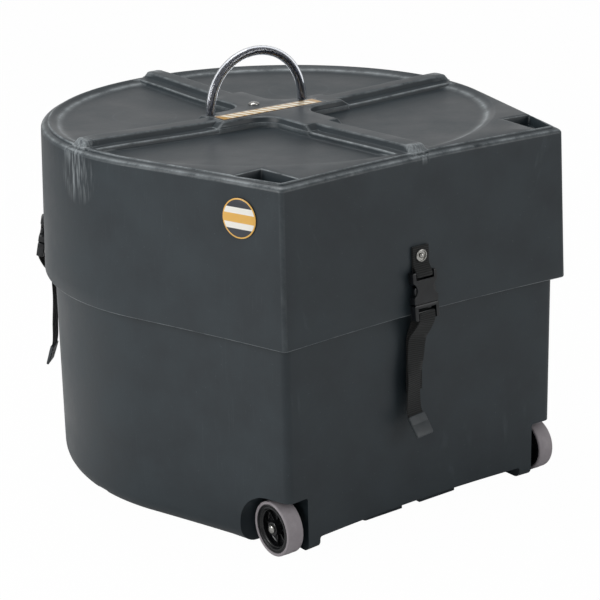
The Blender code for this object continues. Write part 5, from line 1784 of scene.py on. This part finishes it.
    def build_tip(self, finishes: Finishes, end: Vector, down: Vector, across: Vector) -> None:
        """The tail's moulded end piece: a flat sleeve that thins to its lower edge."""
        normal = across.cross(down)
        stages = [(0.0, 0.90, 0.80), (0.0006, 0.98, 0.96), (0.0014, 1.0, 1.0), (0.0110, 1.0, 0.97),
                  (0.0112, 0.985, 0.90), (0.0122, 0.985, 0.90), (0.0124, 1.0, 0.95), (0.0250, 0.99, 0.80),
                  (0.0268, 0.975, 0.74), (0.0277, 0.95, 0.60), (0.0280, 0.92, 0.40)]
        rings = []
        for run, wide, deep in stages:
            half = self.tip_width / 2 * wide
            thin = self.tip_thick / 2 * deep
            corners = round_corners([(-half, -thin), (half, -thin), (half, thin), (-half, thin)],
                                    min(0.0011, thin * 0.8), 4)
            start = end - down * (self.tip_pocket - self.tip_seat)
            rings.append([tuple(start + down * run + across * u + normal * v) for u, v in corners])
        tip, _ = grow(self.name + "_strap_tip_dressed", rings)
        place(tip, self.matrix)
        finish_piece(tip, Body.BASE, finishes.tip, [self.name + "_strap_tip"])

    def socket_outline(self, inset: float) -> Outline:
        """The socket's front view as (x, up), with scalloped sides, drawn in by inset."""
        half = self.half - inset
        low, high = self.parting + inset, self.socket_high - inset
        depth, radius, centre_z = 0.0055, 0.0100, self.parting + self.scallop
        right = [(half - 0.0012, low), (half, low + 0.0012)]
        centre_x = self.half - depth + radius
        reach = math.sqrt((radius + inset) ** 2 - (centre_x - half) ** 2)
        start = math.atan2(-reach, half - centre_x)
        for k in range(15):
            a = start - (2 * math.pi + 2 * start) * k / 14 if start < 0 else start
            right.append((centre_x + (radius + inset) * math.cos(a),
                          centre_z + (radius + inset) * math.sin(a)))
        right += [(half, high - 0.0016), (half - 0.0005, high - 0.0005), (half - 0.0016, high)]
        return right + [(-x, z) for x, z in reversed(right)]

    def plug_outline(self, inset: float) -> Outline:
        """The plug's body in front view as (x, up), drawn in by inset."""
        half = self.half - inset
        low, high = self.plug_low + inset, self.parting - GAP - inset
        return round_corners([(-half, low), (half, low), (half, high), (-half, high)], 0.0020, 5)

    def slab(self, name: str, outline: Callable[[float], Outline]) -> bpy.types.Object:
        """A plate of the buckle's thickness with eased edges, from its outline drawn in by an inset."""
        thick = self.thick / 2
        half_section = ((thick - 0.0010, 0.0), (thick - 0.0003, 0.0003), (thick, 0.0010))
        section = [(-y, inset) for y, inset in reversed(half_section)] + list(half_section)
        return grow(self.name + name, [[(x, y, z) for x, z in outline(inset)] for y, inset in section])[0]

    def add_bar(self, item: bpy.types.Object, radius: float, height: float) -> None:
        """Join a round bar across a slot."""
        reach = self.slot_half + self.bar_hold
        bar = rod("bar", radius, -reach, reach, 24)
        move = Matrix.Translation((0, 0, height)) @ Matrix.Rotation(math.pi / 2, 4, "Y")
        work(item, place(bar, move), "UNION")

    def build_socket(self, finishes: Finishes) -> None:
        """Female half: loop bar, flat mouth and scalloped sides."""
        thick = self.thick / 2
        socket = self.slab("_buckle_socket_dressed", self.socket_outline)
        self.sink_panel(socket, thick)
        slot = block("slot", (-self.slot_half, -0.02, self.socket_high - self.slot_height),
                     (self.slot_half, 0.02, 0.02))
        soften(slot, 0.0008, 2)
        work(socket, slot)
        mouth = block("mouth", (-self.half + 0.0032, -thick + 0.0013, self.parting - 0.006),
                      (self.half - 0.0032, thick - 0.0013, self.parting + self.scallop + 0.0080))
        work(socket, mouth)
        self.add_bar(socket, self.loop_radius, 0.0)
        place(socket, self.buckle_matrix)
        finish_piece(socket, Body.LID, finishes.buckle, [self.name + "_buckle_socket"])

    def sink_panel(self, socket: bpy.types.Object, front: float) -> None:
        """Inset the front face and press its middle in a little."""
        select_only(socket)
        bpy.ops.object.mode_set(mode="EDIT")
        bpy.ops.mesh.select_mode(type="FACE")
        form = bmesh.from_edit_mesh(socket.data)
        for face in form.faces:
            face.select = face.normal.y > 0.99 and face.calc_center_median().y > front - MERGE
        bmesh.update_edit_mesh(socket.data)
        bpy.ops.mesh.inset(thickness=0.0016)
        bpy.ops.transform.translate(value=(0, -0.0003, 0))
        bpy.ops.object.mode_set(mode="OBJECT")

    def prong(self, near: float, far: float, way: int) -> bpy.types.Object:
        """One sprung arm: it bulges out in the socket's scallop and ends in a rounded barb."""
        root = self.parting - 0.0026
        middle = self.parting + self.scallop
        side = [(0.0114, root), (0.0154, root), (0.0155, middle - 0.0067), (0.0166, middle - 0.0047),
                (0.0172, middle - 0.0020), (0.0171, middle + 0.0003), (0.0162, middle + 0.0023),
                (0.0148, middle + 0.0032), (0.0132, middle + 0.0030), (0.0124, middle + 0.0015),
                (0.0120, middle - 0.0035)]
        if way < 0:
            side = [(-x, z) for x, z in reversed(side)]
        arm, _ = grow("prong", [[(x, y, z) for x, z in side] for y in (near, far)])
        soften(arm, 0.0004, 2)
        return arm

    def build_plug(self, finishes: Finishes) -> None:
        """Male half: prongs and guide above, a frame with the ladder bar and a keeper below."""
        thick = self.thick / 2
        top = self.parting - GAP
        low = self.plug_low
        plug = self.slab("_buckle_plug_dressed", self.plug_outline)
        ceiling = top - 0.0045
        work(plug, block("window", (-self.slot_half, -0.02, low + 0.0035), (self.slot_half, 0.02, ceiling)))
        for y0, y1 in ((-0.02, -self.keeper / 2), (self.keeper / 2, 0.02)):
            work(plug, block("passage", (-self.slot_half, y0, low - 0.006),
                             (self.slot_half, y1, ceiling - GAP)))
        self.add_bar(plug, self.ladder_radius, self.ladder)
        far = thick - 0.0013 - 0.0004
        near = -far + 0.016 * math.tan(math.radians(self.lean))
        for way in (-1, 1):
            work(plug, self.prong(near, far, way), "UNION")
        guide = block("guide", (-0.0015, near, top - 0.0022), (0.0015, far, top + 0.0160))
        soften(guide, 0.0005, 2)
        work(plug, guide, "UNION")
        tidy_faces(plug)
        place(plug, self.buckle_matrix)
        finish_piece(plug, Body.BASE, finishes.buckle, [self.name + "_buckle_plug"])

    def build_rivet(self, finishes: Finishes, where: str, body: Body, grip: float, seat: Matrix) -> None:
        """A domed rivet in its cupped washer."""
        low = grip + GAP
        cup, rise = 0.0082, 0.0020
        dish = low + rise * 0.12
        bore = 0.0023
        washer = turned(f"{self.name}_{where}_washer_dressed",
                        [(bore, low), (cup - 0.0003, low), (cup, low + 0.0003), (cup, low + rise * 0.35),
                         (cup * 0.97, low + rise * 0.65), (cup * 0.91, low + rise * 0.9),
                         (cup * 0.84, low + rise), (cup * 0.77, low + rise * 0.97),
                         (cup * 0.73, low + rise * 0.75), (cup * 0.71, low + rise * 0.4),
                         (cup * 0.70, dish), (bore, dish)], 48)
        place(washer, self.matrix @ seat)
        finish_piece(washer, body, finishes.steel, [f"{self.name}_{where}_washer"])
        under = dish + GAP
        head, dome_rise, shaft = 0.0034, 0.0030, 0.0020
        dome = dome_profile(head, under, dome_rise, lip=0.0004, steps=6)
        inside = -self.plan.wall - GAP - 0.0011 - GAP
        rivet = turned(f"{self.name}_{where}_rivet_dressed", dome + [
            (head, under), (shaft, under), (shaft, inside), (0.0033, inside), (0.0033, inside - 0.0008),
            (0, inside - 0.0008)], 32)
        place(rivet, self.matrix @ seat)
        finish_piece(rivet, body, finishes.steel, [f"{self.name}_{where}_rivet"])

    def build(self, finishes: Finishes) -> None:
        """Model and dress the whole strap set."""
        lean = self.plan.skirt_lean
        self.build_webbing(finishes)
        self.build_socket(finishes)
        self.build_plug(finishes)
        self.build_rivet(finishes, "lid", Body.LID, 2 * (self.web_thick + GAP),
                         self.wall_axis(self.lid_rivet, self.skirt(self.lid_rivet), lean))
        self.build_rivet(finishes, "base", Body.BASE, self.web_thick + GAP,
                         self.wall_axis(self.base_rivet, -self.base_inset, 0.0))

    def shell_holes(self) -> tuple[bpy.types.Object, bpy.types.Object]:
        """Rivet holes for the lid and the base."""
        lean = self.plan.skirt_lean
        return (self.rivet_hole(self.lid_rivet, self.skirt(self.lid_rivet), lean),
                self.rivet_hole(self.base_rivet, -self.base_inset, 0.0))


# Studio

@dataclass
class Studio:
    """A white sweep, soft lamps and the camera at the photograph's angle."""

    plan: CasePlan
    azimuth: float = -36.43
    elevation: float = 18.53
    distance: float = 2.54319
    roll: float = -1.21
    focal: float = 1920.33
    image: float = 600.0
    sensor: float = 36.0
    target: tuple[float, float, float] = (-0.01295, -0.06904, 0.2297)
    horizon: float = 0.40
    zenith: float = 0.42
    key_power: float = 27.0
    side_power: float = 11.0
    top_power: float = 16.0
    floor_share: float = 0.985
    backdrop_way: Point = (0.558, 0.756, -0.342)
    backdrop_edge: tuple[float, float] = (0.77, 0.85)

    def camera(self) -> None:
        """Create and set the camera."""
        a, e, r = (math.radians(v) for v in (self.azimuth, self.elevation, self.roll))
        back = Vector((math.sin(a) * math.cos(e), -math.cos(a) * math.cos(e), math.sin(e)))
        right = (-back).cross(Vector((0, 0, 1))).normalized()
        up = right.cross(-back)
        across = right * math.cos(r) + up * math.sin(r)
        rise = -right * math.sin(r) + up * math.cos(r)
        matrix = Matrix((across, rise, back)).transposed().to_4x4()
        matrix.translation = Vector(self.target) + Vector((0, self.plan.shift, 0)) + back * self.distance
        lens = bpy.data.cameras.new("camera")
        lens.sensor_width = self.sensor
        lens.lens = self.focal / self.image * self.sensor
        camera = bpy.data.objects.new("camera", lens)
        bpy.context.scene.collection.objects.link(camera)
        camera.matrix_world = matrix
        bpy.context.scene.camera = camera

    def lamp(self, name: str, spot: Point, aim: Point, size: float, power: float) -> None:
        """One square soft lamp."""
        light = bpy.data.lights.new(name, "AREA")
        light.size = size
        light.energy = power
        lamp = bpy.data.objects.new(name, light)
        lamp.visible_camera = False
        bpy.context.scene.collection.objects.link(lamp)
        lamp.location = spot
        lamp.rotation_euler = (Vector(aim) - Vector(spot)).to_track_quat("-Z", "Y").to_euler()

    @staticmethod
    def eye_rays(tree: bpy.types.NodeTree) -> bpy.types.NodeSocket:
        """One where the eye looks straight on, or through something clear."""
        rays = add_node(tree, "LightPath").node.outputs
        eye = {0: rays["Is Camera Ray"], 1: rays["Is Transmission Ray"]}
        return add_node(tree, "Math", eye, operation="MAXIMUM")

    def build_floor(self) -> None:
        """The white floor, which keeps the case's shadow."""
        clear_selection()
        bpy.ops.mesh.primitive_plane_add(size=12.0)
        floor = bpy.context.object
        floor.name = "studio_floor"
        material, tree, shader = start_material("painted_studio_floor")
        feed(tree, shader, {"Base Color": (0.80, 0.80, 0.80, 1.0), "Roughness": 0.9})
        share = add_node(tree, "Math", {0: self.eye_rays(tree), 1: self.floor_share}, operation="MULTIPLY")
        white = add_node(tree, "Emission", {"Color": (1, 1, 1, 1), "Strength": 1.0})
        mixed = add_node(tree, "MixShader", {0: share, 1: shader.outputs[0], 2: white})
        feed(tree, tree.nodes["Material Output"], {"Surface": mixed})
        floor.data.materials.append(material)

    def build_world(self) -> None:
        """The room: white to the eye, mild as light, with a backdrop that gloss sees low behind the case."""
        world = bpy.data.worlds.new("studio_world")
        world.use_nodes = True
        tree = world.node_tree
        way = add_node(tree, "TexCoord", out="Generated")
        height = add_node(tree, "SeparateXYZ", {"Vector": way}, "Z")
        room = add_node(tree, "MapRange", {"Value": height, "To Min": self.horizon, "To Max": self.zenith})
        facing = add_node(tree, "VectorMath", {0: way, 1: self.backdrop_way}, "Value",
                          operation="DOT_PRODUCT")
        low, high = self.backdrop_edge
        backdrop = add_node(tree, "MapRange", {"Value": facing, "From Min": low, "From Max": high})
        glossy = add_node(tree, "LightPath", out="Is Glossy Ray")
        backdrop = add_node(tree, "Math", {0: backdrop, 1: glossy}, operation="MULTIPLY")
        seen = add_node(tree, "Math", {0: self.eye_rays(tree), 1: backdrop}, operation="MAXIMUM")
        strength = add_node(tree, "MapRange", {"Value": seen, "To Min": room, "To Max": 1.0})
        feed(tree, tree.nodes["Background"], {"Color": (1, 1, 1, 1), "Strength": strength})
        bpy.context.scene.world = world

    def build(self) -> None:
        """Set up the whole studio."""
        self.camera()
        self.build_floor()
        self.build_world()
        self.lamp("key_lamp", (-2.2, 0.1, 1.3), (0, 0, 0.25), 1.2, self.key_power)
        self.lamp("side_lamp", (1.2, -2.2, 1.1), (0, 0, 0.25), 1.2, self.side_power)
        self.lamp("top_lamp", (0.1, 0.7, 2.3), (0, 0, 0.45), 1.2, self.top_power)
        bpy.context.scene.view_settings.view_transform = "Standard"


def straps(plan: CasePlan) -> list[Strap]:
    """The three strap sets with their own tails."""
    front_tail = ((0.0022, 0.0170, 0.2568, 5.0), (0.0050, 0.0108, 0.2450, 8.0),
                  (0.0068, 0.0086, 0.2200, 3.0), (0.0086, 0.0080, 0.1900, -13.0),
                  (0.0096, 0.0080, 0.1650, -11.0), (0.0100, 0.0100, 0.1485, -5.0))
    rear_tail = ((0.0, 0.0215, 0.2545, 0.0), (0.0, 0.0130, 0.2430, 0.0), (0.0, 0.0106, 0.2200, 0.0),
                 (0.0, 0.0135, 0.1700, 0.0), (0.0, 0.0155, 0.1410, 0.0))
    front = Strap("front", 270.0, -0.0105, plan, front_tail, tip_lean=32.0, tip_roll=-4.0, lean=6.0,
                  bar_z=0.3265)
    return [front, Strap("left", 135.0, 0.0, plan, rear_tail, tip_lean=16.0),
            Strap("right", 45.0, 0.0, plan, rear_tail, tip_lean=16.0)]



def main() -> None:
    """Build the case in order and report each piece."""
    logging.basicConfig(level=logging.INFO, format="%(name)s %(message)s")
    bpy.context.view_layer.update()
    plan = PLAN
    Studio(plan).build()
    finishes = make_finishes()
    trim, handle = LidTrim(plan), Handle(plan)
    sets = straps(plan)
    wheels = [Wheel(side, plan) for side in Side]
    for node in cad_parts.values():
        for slot in node.material_slots:
            slot.material = finishes.steel
    holes = [each.shell_holes() for each in sets]
    LidShell(plan).build(finishes, trim, handle, [pair[0] for pair in holes])
    BaseShell(plan).build(finishes, [wheel.axle_hole() for wheel in wheels] + [pair[1] for pair in holes])
    trim.build(finishes)
    handle.build(finishes)
    for wheel in wheels:
        wheel.build(finishes)
    for each in sets:
        each.build(finishes)


if __name__ == "__main__":
    main()
